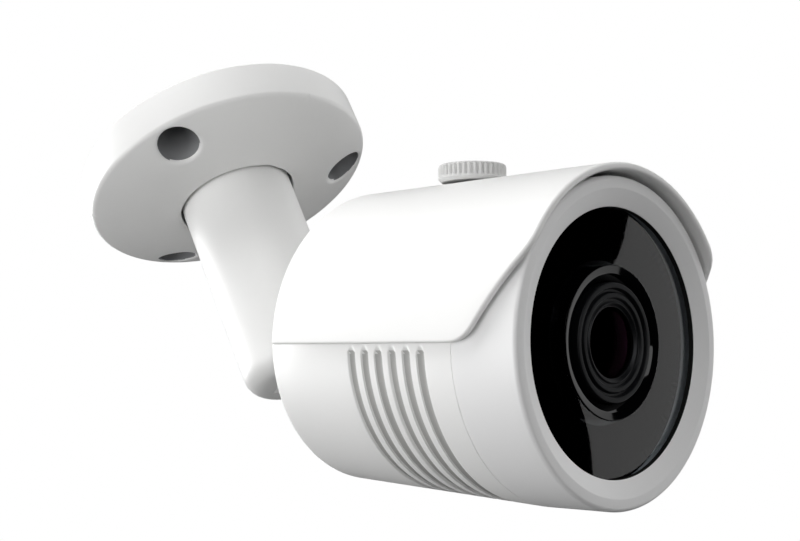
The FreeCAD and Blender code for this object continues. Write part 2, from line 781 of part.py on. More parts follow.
def shield_cut(sketch):
    """Side outline of what is cut off the half shell's front: straight slant with two round turns."""
    tan_half_chin = "tan(shield_slant / 2 * 1 deg)"
    tan_half_brow = "tan((90 - shield_slant) / 2 * 1 deg)"
    chin = "chin_round * " + tan_half_chin
    brow = "brow_round * " + tan_half_brow
    start = "face - shield_chin"
    corner = "%s + %s" % (start, chin)
    front = "face + shield_visor"
    rise = "(shield_visor + shield_chin - %s) * tan(shield_slant * 1 deg)" % chin
    slant_cos = "cos(shield_slant * 1 deg)"
    slant_sin = "sin(shield_slant * 1 deg)"
    draw_outline(sketch, [
        (start, "0", "chin_round"),
        ("%s + %s * %s" % (corner, chin, slant_cos), "%s * %s" % (chin, slant_sin)),
        ("%s - %s * %s" % (front, brow, slant_cos), "%s - %s * %s" % (rise, brow, slant_sin),
         "brow_round"),
        (front, "%s + %s" % (rise, brow)), (front, "shield_outer + 2"),
        ("%s + 20" % front, "shield_outer + 2"), ("%s + 20" % front, "-5"), (start, "-5")])


def sunshield(frame):
    """Half-round shell over the housing, longer at the top than at the sides, slotted for the stud."""
    body = new_body("sunshield", frame)
    sketch = new_sketch(body, "XY_Plane")
    draw_outline(sketch, rectangle("tail_start + shield_tail", "face + shield_visor", "shield_inner",
                                   "shield_outer"))
    shell = body.newObject("PartDesign::Revolution", "Shell")
    shell.Profile = sketch
    shell.ReferenceAxis = (sketch, ["H_Axis"])
    shell.Angle = 180
    DOC.recompute()
    extrude(body, "XZ_Plane", "0", shield_cut, "3 * shield_outer", "Pocket", both=True)
    wide = "(stud_radius + stud_side_gap)"
    half = "(shield_travel + stud_radius + stud_side_gap)"
    extrude(body, "XY_Plane", "shield_inner - 2",
            lambda s: draw_outline(s, rectangle("stud_at - %s" % half, "stud_at + %s" % half,
                                                "-" + wide, wide)),
            "shield_thick + 4", "Pocket", back=True)
    return body


def shield_pad(frame):
    """Rubber spacer round the stud, between the tapered housing and the shield."""
    fall = "(seam_radius - tail_radius) / housing_length"
    wall = "seam_radius - %s * (stud_back - pad_radius - ring_length)" % fall
    outer = DOC.addObject("Part::Cylinder", "PadOutside")
    bind(outer, "Radius", "shield_inner - pad_gap")
    inner = DOC.addObject("Part::Cylinder", "PadInside")
    bind(inner, "Radius", wall + " + pad_gap")
    for tube in (outer, inner):
        bind(tube, "Height", "4 * pad_radius")
        tube.Placement = Placement(Vector(num("stud_at - 2 * pad_radius"), 0, 0),
                                   Rotation(Vector(0, 0, 1), Vector(1, 0, 0)))
    plug = DOC.addObject("Part::Cylinder", "PadPlug")
    bind(plug, "Radius", "pad_radius")
    bore = DOC.addObject("Part::Cylinder", "PadBore")
    bind(bore, "Radius", "stud_radius + pad_bore_gap")
    for post in (plug, bore):
        bind(post, "Height", "shield_outer + 5")
        post.Placement = shift(x="stud_at")
    wall_cut = DOC.addObject("Part::Cut", "PadShell")
    wall_cut.Base = outer
    wall_cut.Tool = inner
    post_cut = DOC.addObject("Part::Cut", "PadTube")
    post_cut.Base = plug
    post_cut.Tool = bore
    pad = DOC.addObject("Part::Common", "shield_pad")
    pad.Label = "shield_pad"
    pad.Base = wall_cut
    pad.Tool = post_cut
    pad.Placement = frame
    PARTS.append(pad)


def knob(frame):
    """Thumb screw: knurled head with a plain skirt, and the stud that goes into the housing."""
    body = new_body("knob", frame)
    bottom = "shield_outer + knob_lift"
    top = bottom + " + knob_tall"
    skirt = bottom + " + knob_skirt"
    spin(body, [("shield_inner - stud_deep", "0"), (top, "0"), (top, "knob_radius - knob_top_edge"),
                (top + " - knob_top_edge", "knob_radius"), (skirt, "knob_radius"),
                (bottom, "knob_radius - knob_foot_edge"),
                (bottom, "stud_radius"), ("shield_inner - stud_deep", "stud_radius")])
    flute = pin_cut(body, "flute_radius", "0", "knob_tall", Vector(1, 0, 0),
                    (skirt, "0", "knob_radius + flute_out"))
    repeat(body, [flute], "knob_flutes")
    return body


# ---- inside -----------------------------------------------------------------------------------

def lens_group(frame):
    """Lens that stands in the window's hole, its glasses, lock ring and foam light shield."""
    head_end = "lens_lip - lens_head_length"
    mouth = "lens_lip - lens_cone"
    thread_top = "holder_top + lens_thread_spare"
    cell = mouth + " - cell_deep"
    rear = "lens_end + rear_cell_deep"
    turned("lens_barrel", frame,
           [("lens_end", "rear_cell"), (rear, "rear_cell"), (rear, "cone_back"), (cell, "cone_front"),
            (cell, "lens_window - cell_lip"), (mouth, "lens_window - cell_lip"),
            (mouth, "lens_window"), ("lens_lip - lens_edge", "lens_head - lens_rim"),
            ("lens_lip", "lens_head - lens_rim"), ("lens_lip", "lens_head - lens_edge"),
            ("lens_lip - lens_edge", "lens_head"), (head_end, "lens_head"),
            (head_end, "lens_barrel"), (thread_top, "lens_barrel"), (thread_top, "lens_thread"),
            ("lens_end", "lens_thread")])
    arc = "front_glass^2 / (2 * front_glass_bulge) + front_glass_bulge / 2"
    back = mouth + " - front_glass_deep"
    top = mouth + " + front_glass_proud"
    turned("front_lens", frame, [(back, "0"), (top, "0", arc),
                                 (top + " - front_glass_bulge", "front_glass"), (back, "front_glass")])
    start = "lens_end + rear_glass_set"
    turned("rear_lens", frame, rectangle(start, start + " + rear_glass_thick", "0", "rear_glass"))
    start = "holder_top + lock_ring_gap"
    washer("lens_lock_ring", frame, start, start + " + lock_ring_thick", "lens_thread + thread_gap",
           "lock_ring_outer")
    washer("lens_light_shield", frame, "led_face", "bezel_back - hood_gap", "hood_inner",
           "hood_outer")


def lamp_board(frame):
    """Ring of infra-red lamps on their board, the light sensor in the last place, spacer posts."""
    washer("lamp_board", frame, "led_face - board_thick", "led_face", "hood_inner + board_hole_gap",
           "cap_seat - spigot_wall - led_board_edge")
    forward = Vector(1, 0, 0)
    place = Vector(num("led_face"), 0, num("led_circle"))
    straight = num("led_tall - led_radius")
    foot = Part.makeCylinder(num("led_foot"), num("led_foot_thick"), place, forward)
    stem = Part.makeCylinder(num("led_radius"), straight, place, forward)
    dome = Part.makeSphere(num("led_radius"), place + forward * straight)
    lamp = foot.fuse([stem, dome]).removeSplitter()
    count = int(num("led_count"))
    ring = []
    for index in range(1, count):
        copy = lamp.copy()
        copy.rotate(Vector(0, 0, 0), Vector(1, 0, 0), 360.0 * index / count)
        ring.append(copy)
    group = DOC.addObject("Part::Feature", "infrared_lamps")
    group.Label = "infrared_lamps"
    group.Shape = Part.makeCompound(ring)
    group.Placement = frame
    PARTS.append(group)
    turned("light_sensor", frame * shift(z="led_circle"),
           [("led_face", "0"), ("led_face + sensor_tall", "0"), ("led_face + sensor_tall", "sensor_top"),
            ("led_face + sensor_tall - sensor_edge", "led_radius"), ("led_face", "led_radius")])
    rect = rectangle("seam - spigot_depth", "led_face - board_thick", "led_post_circle",
                     "led_post_circle + post_radius")
    turned("lamp_posts", frame, rect, height="led_post_circle", count="3")


def block(label, frame, start, length, across, up, wide, tall):
    """A rectangular block: start and length along the axis, middle across and up, full sizes."""
    body = new_body(label, frame)
    sketch = new_sketch(body, "YZ_Plane", start)
    draw_outline(sketch, rectangle("%s - (%s) / 2" % (across, wide), "%s + (%s) / 2" % (across, wide),
                                   "%s - (%s) / 2" % (up, tall), "%s + (%s) / 2" % (up, tall)))
    pad = body.newObject("PartDesign::Pad", "Block")
    pad.Profile = sketch
    bind(pad, "Length", length)
    DOC.recompute()
    return body


def board(label, frame, back):
    """A square circuit board with four post holes."""
    body = block(label, frame, back, "board_thick", "0", "0", "2 * board_half", "2 * board_half")
    hole = pin_cut(body, "small_shank + clearance", "0", "board_thick + 2", Vector(1, 0, 0),
                   (back + " - 1", "-post_circle * sqrt(0.5)", "post_circle * sqrt(0.5)"))
    repeat(body, [hole], "4")
    return body


def carrier(frame):
    """Round plate clamped between the housing's shoulder and the front ring, carrying the boards."""
    body = new_body("board_carrier", frame)
    spin(body, rectangle("shoulder", "shoulder + carrier_thick", "lock_ring_outer + 1",
                         "cap_seat - clearance"))
    diagonal = frame * turn(Vector(1, 0, 0), 45)
    turned("board_posts", diagonal,
           rectangle("image_face", "shoulder", "post_circle", "post_circle + post_radius + post_extra"),
           height="post_circle", count="4")
    turned("rear_posts", diagonal,
           rectangle("main_back + board_thick", "image_face - board_thick", "post_circle",
                     "post_circle + post_radius"),
           height="post_circle", count="4")
    turned("board_screws", diagonal,
           screw_corners("main_back", "small_shank", "board_thick - 0.1", "small_head",
                         "small_head_thick", "small_key_deep", "small_key", "post_circle"),
           height="post_circle", count="4")


def filter_group(frame):
    """Lens holder with its cross slot, the filter shuttle that slides in it, windows and coil."""
    holder = block("lens_holder", frame, "image_face", "holder_top - image_face", "0", "0",
                   "2 * holder_half", "2 * holder_half")
    spin(holder, rectangle("image_face + sensor_gap - 1", "holder_top + 1", "0",
                           "lens_thread + thread_gap"), "Groove")
    extrude(holder, "YZ_Plane", "image_face - 1",
            lambda s: draw_outline(s, rectangle("-sensor_room", "sensor_room", "-sensor_room", "sensor_room")),
            "sensor_gap + 0.5", "Pocket", back=True)
    slot_back = "image_face + shuttle_back"
    tall = "shuttle_half + shuttle_gap"
    extrude(holder, "YZ_Plane", slot_back,
            lambda s: draw_outline(s, rectangle("-holder_half - 1", "holder_half + 1", "-(%s)" % tall,
                                                tall)),
            "shuttle_thick + 2 * shuttle_gap", "Pocket", back=True)
    middle = "shuttle_travel / 2"
    plate_back = slot_back + " + shuttle_gap"
    shuttle = block("filter_shuttle", frame, plate_back, "shuttle_thick", middle, "0", "shuttle_long",
                    "2 * shuttle_half")
    for place in ("0", "shuttle_travel"):
        extrude(shuttle, "YZ_Plane", plate_back + " - 1",
                lambda s, at=place: draw_outline(s, rectangle("%s - window_half" % at,
                                                              "%s + window_half" % at,
                                                              "-window_half", "window_half")),
                "shuttle_thick + 2", "Pocket", back=True)
    glasses = []
    side = num("2 * (window_half - pane_gap)")
    for place in ("0", "shuttle_travel"):
        corner = Vector(num(plate_back + " + pane_inset"), num(place) - side / 2, -side / 2)
        glasses.append(Part.makeBox(num("shuttle_thick - 2 * pane_inset"), side, side, corner))
    group = DOC.addObject("Part::Feature", "filter_glasses")
    group.Label = "filter_glasses"
    group.Shape = Part.makeCompound(glasses)
    group.Placement = frame
    PARTS.append(group)
    coil = new_body("filter_coil", frame * shift(z="holder_half + coil_radius"))
    spin(coil, rectangle("holder_top - coil_long", "holder_top", "0", "coil_radius"))


def electronics(frame):
    """Image board with its chip, main board with processor, capacitors and plug sockets."""
    image_back = "image_face - board_thick"
    board("image_board", frame, image_back)
    block("image_chip", frame, "image_face", "chip_thick", "0", "0", "2 * chip_half", "2 * chip_half")
    board("main_board", frame, "main_back")
    front = "main_back + board_thick"
    block("processor", frame, front, "processor_thick", "processor_across", "processor_up",
          "2 * chip_side", "2 * chip_side")
    block("heat_pad", frame, front + " + processor_thick", "heat_pad_thick", "processor_across",
          "processor_up", "2 * (chip_side - heat_pad_inset)", "2 * (chip_side - heat_pad_inset)")
    block("cable_socket", frame, front, "socket_tall", "-socket_across", "-socket_low",
          "socket_wide", "socket_high")
    pots = []
    for side in (-1, 0, 1):
        base = Vector(num("main_back"), side * num("pot_pitch"), num("-pot_low"))
        pots.append(Part.makeCylinder(num("pot_radius"), num("pot_tall"), base, Vector(-1, 0, 0)))
    group = DOC.addObject("Part::Feature", "capacitors")
    group.Label = "capacitors"
    group.Shape = Part.makeCompound(pots)
    group.Placement = frame
    PARTS.append(group)


def build():
    """Make every part in its own frame."""
    fill_sheet()
    mount, camera, cross, knob_frame = working_frames()
    plate = mount * turn(Vector(1, 0, 0), 180)
    mounting_plate(plate)
    plate_bearing(plate)
    pan_lock(plate)
    arm_part(mount)
    tilt_bolt(cross)
    knuckle(camera)
    roll_bearing(camera)
    rear_cap(camera)
    rear_fittings(camera)
    housing(camera)
    front_ring(camera)
    window_group(camera)
    sunshield(camera)
    shield_pad(camera)
    knob(knob_frame)
    lens_group(camera)
    lamp_board(camera)
    carrier(camera)
    filter_group(camera)
    electronics(camera)
    DOC.recompute()


def check_and_export():
    """Refuse a failed object or a bad shape, then write one file for each part."""
    failed = [item.Label for item in DOC.Objects if {"Invalid", "Error"} & set(item.State)]
    if failed:
        raise RuntimeError("objects failed: %s" % ", ".join(failed))
    os.makedirs("parts", exist_ok=True)
    for part in PARTS:
        shape = part.Shape
        if shape.isNull() or not shape.isValid() or not shape.Solids:
            raise RuntimeError("bad shape: %s" % part.Label)
        shape.exportStep("parts/%s.step" % part.Label)
        print("%-18s solids %2d  volume %9.1f" % (part.Label, len(shape.Solids), shape.Volume))


build()
check_and_export()
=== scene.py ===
import json
import logging
import math
from dataclasses import dataclass, field
from enum import Enum
from typing import Callable, Sequence

import bmesh
import bpy
import numpy as np
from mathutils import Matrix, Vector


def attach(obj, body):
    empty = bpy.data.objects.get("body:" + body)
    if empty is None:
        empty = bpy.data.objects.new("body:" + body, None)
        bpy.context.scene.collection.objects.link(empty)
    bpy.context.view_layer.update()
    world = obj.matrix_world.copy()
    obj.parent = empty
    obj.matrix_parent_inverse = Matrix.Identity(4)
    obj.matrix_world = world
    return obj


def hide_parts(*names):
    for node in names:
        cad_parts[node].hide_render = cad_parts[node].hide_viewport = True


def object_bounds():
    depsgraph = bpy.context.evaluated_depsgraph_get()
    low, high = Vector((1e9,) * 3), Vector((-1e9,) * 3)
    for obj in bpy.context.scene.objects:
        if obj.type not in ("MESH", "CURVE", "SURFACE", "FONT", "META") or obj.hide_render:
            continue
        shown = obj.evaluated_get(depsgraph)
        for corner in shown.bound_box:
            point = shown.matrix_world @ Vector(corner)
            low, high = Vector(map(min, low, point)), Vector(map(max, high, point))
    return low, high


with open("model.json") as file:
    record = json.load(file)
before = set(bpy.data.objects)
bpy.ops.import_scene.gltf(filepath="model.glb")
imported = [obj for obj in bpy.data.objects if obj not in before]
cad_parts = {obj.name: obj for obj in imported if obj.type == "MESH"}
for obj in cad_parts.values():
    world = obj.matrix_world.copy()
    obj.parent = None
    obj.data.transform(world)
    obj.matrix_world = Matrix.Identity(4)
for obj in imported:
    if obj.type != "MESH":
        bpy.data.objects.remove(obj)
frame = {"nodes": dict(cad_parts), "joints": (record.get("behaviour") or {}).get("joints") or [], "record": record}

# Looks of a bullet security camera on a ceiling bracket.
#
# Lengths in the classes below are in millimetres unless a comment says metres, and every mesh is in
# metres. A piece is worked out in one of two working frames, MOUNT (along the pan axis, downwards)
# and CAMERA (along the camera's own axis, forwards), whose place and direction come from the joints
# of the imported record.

LOG = logging.getLogger("security_camera")
CAD_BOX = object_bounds()
MM = 0.001
JOINTS = {joint["name"]: joint for joint in frame["joints"]}
ROUND = 240          # facets round a turned piece
SHARP = 32.0         # edges that turn by more degrees than this stay sharp
QUARTER = math.pi / 2
ARC_STEP = 9.0       # degrees between the points of a rounded corner
Reshape = Callable[[np.ndarray, np.ndarray], np.ndarray]    # (out, angle) to the new out


# ---- working frames and measures taken from the CAD nodes ------------------------------------

@dataclass(frozen=True)
class Axes:
    """A working frame: where it stands (m) and its along and up directions in the row frame."""

    origin: tuple[float, float, float]
    along: tuple[float, float, float]
    up: tuple[float, float, float]

    def matrix(self) -> np.ndarray:
        """Rows are the along, side and up directions; side is up crossed with along."""
        along, up = np.array(self.along), np.array(self.up)
        return np.stack([along, np.cross(up, along), up])

    def place(self, along: np.ndarray, side: np.ndarray, up: np.ndarray) -> np.ndarray:
        """Row-frame points (m) of working-frame coordinates (mm).

        Args:
            along, side, up: arrays of one shape, in mm.

        Returns:
            An array of points, one row each: origin + along*A + side*S + up*U.
        """
        local = np.stack([np.ravel(along), np.ravel(side), np.ravel(up)], axis=1)
        return np.array(self.origin) + MM * local @ self.matrix()

    def moved(self, along: float = 0.0, side: float = 0.0, up: float = 0.0) -> "Axes":
        """The same directions from another point, given in mm."""
        origin = self.place(np.array([along]), np.array([side]), np.array([up]))[0]
        return Axes(tuple(origin), self.along, self.up)

    def turned(self, along: tuple[float, float, float], up: tuple[float, float, float]) -> "Axes":
        """A frame at the same point whose directions are given in this one's coordinates."""
        basis = self.matrix()
        return Axes(self.origin, tuple(np.array(along) @ basis), tuple(np.array(up) @ basis))

    def local(self, items: bpy.types.bpy_prop_collection, name: str) -> np.ndarray:
        """A mesh's vertices ("co") or face middles ("center") as (along, side, up) rows in mm."""
        points = np.empty(len(items) * 3)
        items.foreach_get(name, points)
        return (points.reshape(-1, 3) - np.array(self.origin)) @ self.matrix().T / MM


MOUNT = Axes((0.0, 0.0, 0.0), (0.0, 0.0, -1.0), (1.0, 0.0, 0.0))
CAMERA = Axes(tuple(JOINTS["tilt"]["pos_m"]), tuple(JOINTS["roll"]["axis"]),
              tuple(JOINTS["knob_turn"]["axis"]))
STUD_FOOT = tuple(JOINTS["knob_turn"]["pos_m"])


@dataclass(frozen=True)
class Span:
    """How far a CAD node reaches in a working frame, in mm."""

    start: float
    end: float
    out: float


def span_of(node: str, axes: Axes) -> Span:
    """Measure a CAD node: its first and last place along the axis and its largest radius."""
    local = axes.local(frame["nodes"][node].data.vertices, "co")
    return Span(local[:, 0].min(), local[:, 0].max(), np.hypot(local[:, 1], local[:, 2]).max())


# ---- surfaces ----------------------------------------------------------------------------------

def rounded(corners: Sequence[tuple[float, ...]], closed: bool = False) -> np.ndarray:
    """An outline whose corners are arcs.

    Each corner is (along, out) or (along, out, radius). The arc of a corner touches both of its
    sides: it starts radius*tan(turn/2) before the corner and bulges towards it, and its points
    are spread evenly over the turn.

    Args:
        corners: the outline's corners in order.
        closed: whether the last corner leads back to the first.

    Returns:
        The outline's points, one row each.
    """
    points = np.array([c[:2] for c in corners], float)
    count, parts = len(points), []
    for index, corner in enumerate(corners):
        radius = corner[2] if len(corner) == 3 else 0.0
        if radius == 0.0 or (not closed and index in (0, count - 1)):
            parts.append(points[index:index + 1])
            continue
        back = points[index - 1] - points[index]
        ahead = points[(index + 1) % count] - points[index]
        back, ahead = back / np.linalg.norm(back), ahead / np.linalg.norm(ahead)
        half = math.acos(float(np.clip(back @ ahead, -1, 1))) / 2
        inward = (back + ahead) / np.linalg.norm(back + ahead)
        middle = points[index] + inward * radius / math.sin(half)
        first = points[index] + back * radius / math.tan(half) - middle
        last = points[index] + ahead * radius / math.tan(half) - middle
        turn = math.pi - 2 * half
        steps = max(3, int(math.degrees(turn) / ARC_STEP))
        share = np.linspace(0, 1, steps + 1)[:, None]
        parts.append(middle + (np.sin((1 - share) * turn) * first + np.sin(share * turn) * last)
                     / math.sin(turn))
    return np.concatenate(parts)


def densified(outline: np.ndarray, step: float) -> np.ndarray:
    """The same outline with its long sides cut into equal pieces of at most step (mm)."""
    parts = [outline[:1]]
    for start, end in zip(outline[:-1], outline[1:]):
        pieces = max(1, math.ceil(float(np.linalg.norm(end - start)) / step))
        parts.append(start + (end - start) * np.linspace(0, 1, pieces + 1)[1:, None])
    return np.concatenate(parts)


def grid_faces(rows: int, columns: int, wrap_rows: bool, wrap_columns: bool) -> np.ndarray:
    """Quads of a grid of rows by columns points numbered row by row, joined round where asked."""
    row = np.arange(rows if wrap_rows else rows - 1)[:, None]
    column = np.arange(columns if wrap_columns else columns - 1)[None, :]
    after_row, after_column = (row + 1) % rows, (column + 1) % columns
    quads = [row * columns + column, row * columns + after_column,
             after_row * columns + after_column, after_row * columns + column]
    return np.stack([np.broadcast_to(q, (row.shape[0], column.shape[1])) for q in quads],
                    axis=-1).reshape(-1, 4)


def linked(name: str, data: bpy.types.ID) -> bpy.types.Object:
    """A new object of the scene."""
    made = bpy.data.objects.new(name, data)
    bpy.context.scene.collection.objects.link(made)
    return made


@dataclass
class Surface:
    """Points (m) and faces that are gathered before they become one mesh."""

    points: list[np.ndarray] = field(default_factory=list)
    faces: list[np.ndarray] = field(default_factory=list)
    total: int = 0

    def add(self, points: np.ndarray, faces: np.ndarray) -> "Surface":
        """Add a set of points and the faces that use them."""
        self.points.append(points)
        self.faces.append(faces + self.total)
        self.total += len(points)
        return self

    def join(self, other: "Surface") -> "Surface":
        """Add everything that another surface holds."""
        self.faces += [faces + self.total for faces in other.faces]
        self.points += other.points
        self.total += other.total
        return self

    def turn(self, axes: Axes, outline: np.ndarray, closed: bool = False, facets: int = ROUND,
             shape: Reshape | None = None) -> "Surface":
        """Add an outline turned about the axis.

        A point (along, out) at angle t from up goes to (along, out*sin t, out*cos t). Where shape
        is given, it returns the new out for the arrays of outline index and angle.

        Args:
            axes: the working frame.
            outline: (along, out) rows in mm.
            closed: whether the outline's end joins its start.
            facets: how many steps there are round the axis.
            shape: optional change of out over the grid of outline rows by angles.
        """
        angle = np.arange(facets) * 2 * math.pi / facets
        along = np.repeat(outline[:, :1], facets, axis=1)
        out = np.repeat(outline[:, 1:2], facets, axis=1)
        if shape is not None:
            out = shape(out, np.broadcast_to(angle, out.shape))
        points = axes.place(along, out * np.sin(angle), out * np.cos(angle))
        return self.add(points, grid_faces(len(outline), facets, closed, True))

    def piece(self, name: str, body: str, sharp: float = SHARP) -> bpy.types.Object:
        """Make the gathered surfaces one mesh object that rides on a body.

        Doubled points are merged, so poles and seams close, and the faces are turned outwards.

        Args:
            name: the piece's name.
            body: the CAD body that it moves with.
            sharp: edges that turn by more than this many degrees stay sharp.
        """
        points = np.concatenate(self.points)
        quads = np.concatenate([np.empty((0, 4), int),
                                *(f for f in self.faces if f.shape[1] == 4)])
        rings = [f for f in self.faces if f.shape[1] != 4]
        mesh = bpy.data.meshes.new(name)
        mesh.from_pydata(points, [], quads.tolist() + [r for ring in rings for r in ring.tolist()])
        work = bmesh.new()
        work.from_mesh(mesh)
        bmesh.ops.remove_doubles(work, verts=work.verts, dist=2e-7)
        bmesh.ops.dissolve_degenerate(work, edges=work.edges, dist=1e-8)
        bmesh.ops.recalc_face_normals(work, faces=work.faces)
        work.to_mesh(mesh)
        work.free()
        mesh.polygons.foreach_set("use_smooth", np.ones(len(mesh.polygons), bool))
        mesh.set_sharp_from_angle(angle=math.radians(sharp))
        made = linked(name, mesh)
        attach(made, body)
        return made


def cut_by(made: bpy.types.Object, cutter: bpy.types.Object) -> None:
    """Cut one closed piece out of another for good, and remove the cutter."""
    cut = made.modifiers.new("cut", "BOOLEAN")
    cut.object, cut.operation, cut.solver = cutter, "DIFFERENCE", "EXACT"
    seen = made.evaluated_get(bpy.context.evaluated_depsgraph_get())
    mesh = bpy.data.meshes.new_from_object(seen)
    made.modifiers.clear()
    made.data = mesh
    mesh.set_sharp_from_angle(angle=math.radians(SHARP))
    bpy.data.objects.remove(cutter)


def normals(loop: np.ndarray) -> np.ndarray:
    """The unit directions square to a closed curve at its points, to the left of its run."""
    tangent = np.roll(loop, -1, axis=0) - np.roll(loop, 1, axis=0)
    left = np.stack([-tangent[:, 1], tangent[:, 0]], axis=1)
    return left / np.linalg.norm(left, axis=1)[:, None]


def prism(axes: Axes, outline: np.ndarray, half: float, edge: float = 0.0) -> Surface:
    """A plate of even thickness from a closed outline, with rounded edges.

    Row k of the grid is the outline shrunk towards the inside by edge*(1 - cos) while the depth
    goes from half - edge to half by edge*sin, on both faces, and a ring face closes each end.

    Args:
        axes: the working frame, whose side direction is the plate's thickness.
        outline: (along, up) rows in mm, anticlockwise.
        half: half the thickness in mm.
        edge: the radius of the edges in mm.
    """
    inward = normals(outline)
    arc = np.linspace(0, QUARTER, 5 if edge else 1)
    inset = np.concatenate([edge * (1 - np.sin(arc)), edge * (1 - np.cos(arc))])
    depth = np.concatenate([-half + edge * (1 - np.cos(arc)), half - edge + edge * np.sin(arc)])
    flat = outline[None] + inward[None] * inset[:, None, None]
    depths = np.broadcast_to(depth[:, None], flat.shape[:2])
    count, rows = len(outline), len(depth)
    made = Surface().add(axes.place(flat[..., 0], depths, flat[..., 1]),
                         grid_faces(rows, count, False, True))
    made.faces.append(np.arange(count)[None, :])
    made.faces.append((rows - 1) * count + np.arange(count)[None, :])
    return made


# ---- finishes ----------------------------------------------------------------------------------

def linear(colour: str) -> tuple[float, float, float, float]:
    """The linear value of an sRGB hex colour such as '#F0F0EE', with alpha 1."""
    parts = [int(colour[i:i + 2], 16) / 255 for i in (1, 3, 5)]
    return (*[p / 12.92 if p <= 0.04045 else ((p + 0.055) / 1.055) ** 2.4 for p in parts], 1.0)


def add_node(tree: bpy.types.NodeTree, kind: str, settings: dict | None = None,
             **links: bpy.types.NodeSocket) -> bpy.types.Node:
    """Add a node with its settings and its incoming links.

    Args:
        tree: the material's node tree.
        kind: the node's type name without the ShaderNode prefix.
        settings: values by input name, or by property name where there is no such input.
        links: sockets that feed the inputs, named with _ for a space.

    Returns:
        The new node.
    """
    node = tree.nodes.new("ShaderNode" + kind)
    for name, value in (settings or {}).items():
        if isinstance(name, int) or name in node.inputs:
            node.inputs[name].default_value = value
        else:
            setattr(node, name, value)
    for name, socket in links.items():
        tree.links.new(socket, node.inputs[name.replace("_", " ")])
    return node


def calculated(tree: bpy.types.NodeTree, operation: str,
               *terms: float | bpy.types.NodeSocket) -> bpy.types.NodeSocket:
    """The output of a Math node.

    Args:
        tree: the material's node tree.
        operation: the node's operation, such as MULTIPLY.
        terms: its inputs in order, each a number or a socket.
    """
    node = add_node(tree, "Math", {"operation": operation})
    for index, term in enumerate(terms):
        if isinstance(term, (int, float)):
            node.inputs[index].default_value = term
        else:
            tree.links.new(term, node.inputs[index])
    return node.outputs["Value"]


def mixed(tree: bpy.types.NodeTree, *sockets: bpy.types.NodeSocket) -> bpy.types.NodeSocket:
    """The output of a shader mix whose inputs are the share, the first and the second shader."""
    mix = add_node(tree, "MixShader")
    for index, socket in enumerate(sockets):
        tree.links.new(socket, mix.inputs[index])
    return mix.outputs["Shader"]


def cleared(owner: bpy.types.Material | bpy.types.World) -> bpy.types.NodeTree:
    """The empty node tree of a new material or world."""
    owner.use_nodes = True
    owner.node_tree.nodes.clear()
    return owner.node_tree


def per_metre(size_mm: float) -> float:
    """The noise scale on Object coordinates whose grains are about this size."""
    return 1.0 / (size_mm * MM)


@dataclass(frozen=True)
class Finish:
    """What every finish has: a name, a colour and how rough it is, and a fine surface grain."""

    name: str
    colour: str
    roughness: float
    ior: float = 1.5
    metallic: float = 0.0
    grain_mm: float = 0.5
    grain_depth_mm: float = 0.01
    unevenness: float = 0.05
    shade: float = 0.03
    slow_mm: float = 28.0

    def grain(self, tree: bpy.types.NodeTree, place: bpy.types.NodeSocket) -> bpy.types.Node:
        """The texture of the fine grain: soft noise of the grain's size."""
        return add_node(tree, "TexNoise", {"Scale": per_metre(self.grain_mm), "Detail": 3.0,
                                           "Roughness": 0.55}, Vector=place)

    def finish(self, tree: bpy.types.NodeTree, shader: bpy.types.Node) -> bpy.types.NodeSocket:
        """Add what only this finish has, and return the socket that goes to the output."""
        return shader.outputs["BSDF"]

    def build(self) -> bpy.types.Material:
        """Make the material: slow change of shade and roughness, and the grain as bump."""
        material = bpy.data.materials.new(self.name)
        tree = cleared(material)
        place = add_node(tree, "TexCoord").outputs["Object"]
        slow = add_node(tree, "TexNoise", {"Scale": per_metre(self.slow_mm), "Detail": 4.0},
                        Vector=place)
        dark = tuple(c * (1 - self.shade) for c in linear(self.colour)[:3]) + (1.0,)
        tone = add_node(tree, "Mix", {"data_type": "RGBA", 6: dark, 7: linear(self.colour)},
                        Factor=slow.outputs["Fac"])
        rough = add_node(tree, "MapRange", {"To Min": self.roughness - self.unevenness,
                                            "To Max": self.roughness + self.unevenness},
                         Value=slow.outputs["Fac"])
        fine = self.grain(tree, place)
        bump = add_node(tree, "Bump", {"Strength": 1.0, "Distance": self.grain_depth_mm * MM},
                        Height=fine.outputs["Fac"])
        shader = add_node(tree, "BsdfPrincipled", {"IOR": self.ior, "Metallic": self.metallic},
                          Base_Color=tone.outputs[2], Roughness=rough.outputs["Result"],
                          Normal=bump.outputs["Normal"])
        add_node(tree, "OutputMaterial", Surface=self.finish(tree, shader))
        return material


@dataclass(frozen=True)
class TurnedMetal(Finish):
    """Lathe-turned metal: fine rings round the axis, which stretch the grain along the turning."""

    axis: tuple[float, float, float] = CAMERA.along

    def grain(self, tree: bpy.types.NodeTree, place: bpy.types.NodeSocket) -> bpy.types.Node:
        """Noise that changes only along the axis, so that it makes rings round it."""
        along = add_node(tree, "VectorMath", {"operation": "DOT_PRODUCT", 1: self.axis},
                         Vector=place)
        grains = calculated(tree, "MULTIPLY", along.outputs["Value"], per_metre(self.grain_mm))
        return add_node(tree, "TexNoise", {"noise_dimensions": "1D", "Scale": 1.0, "Detail": 2.0},
                        W=grains)


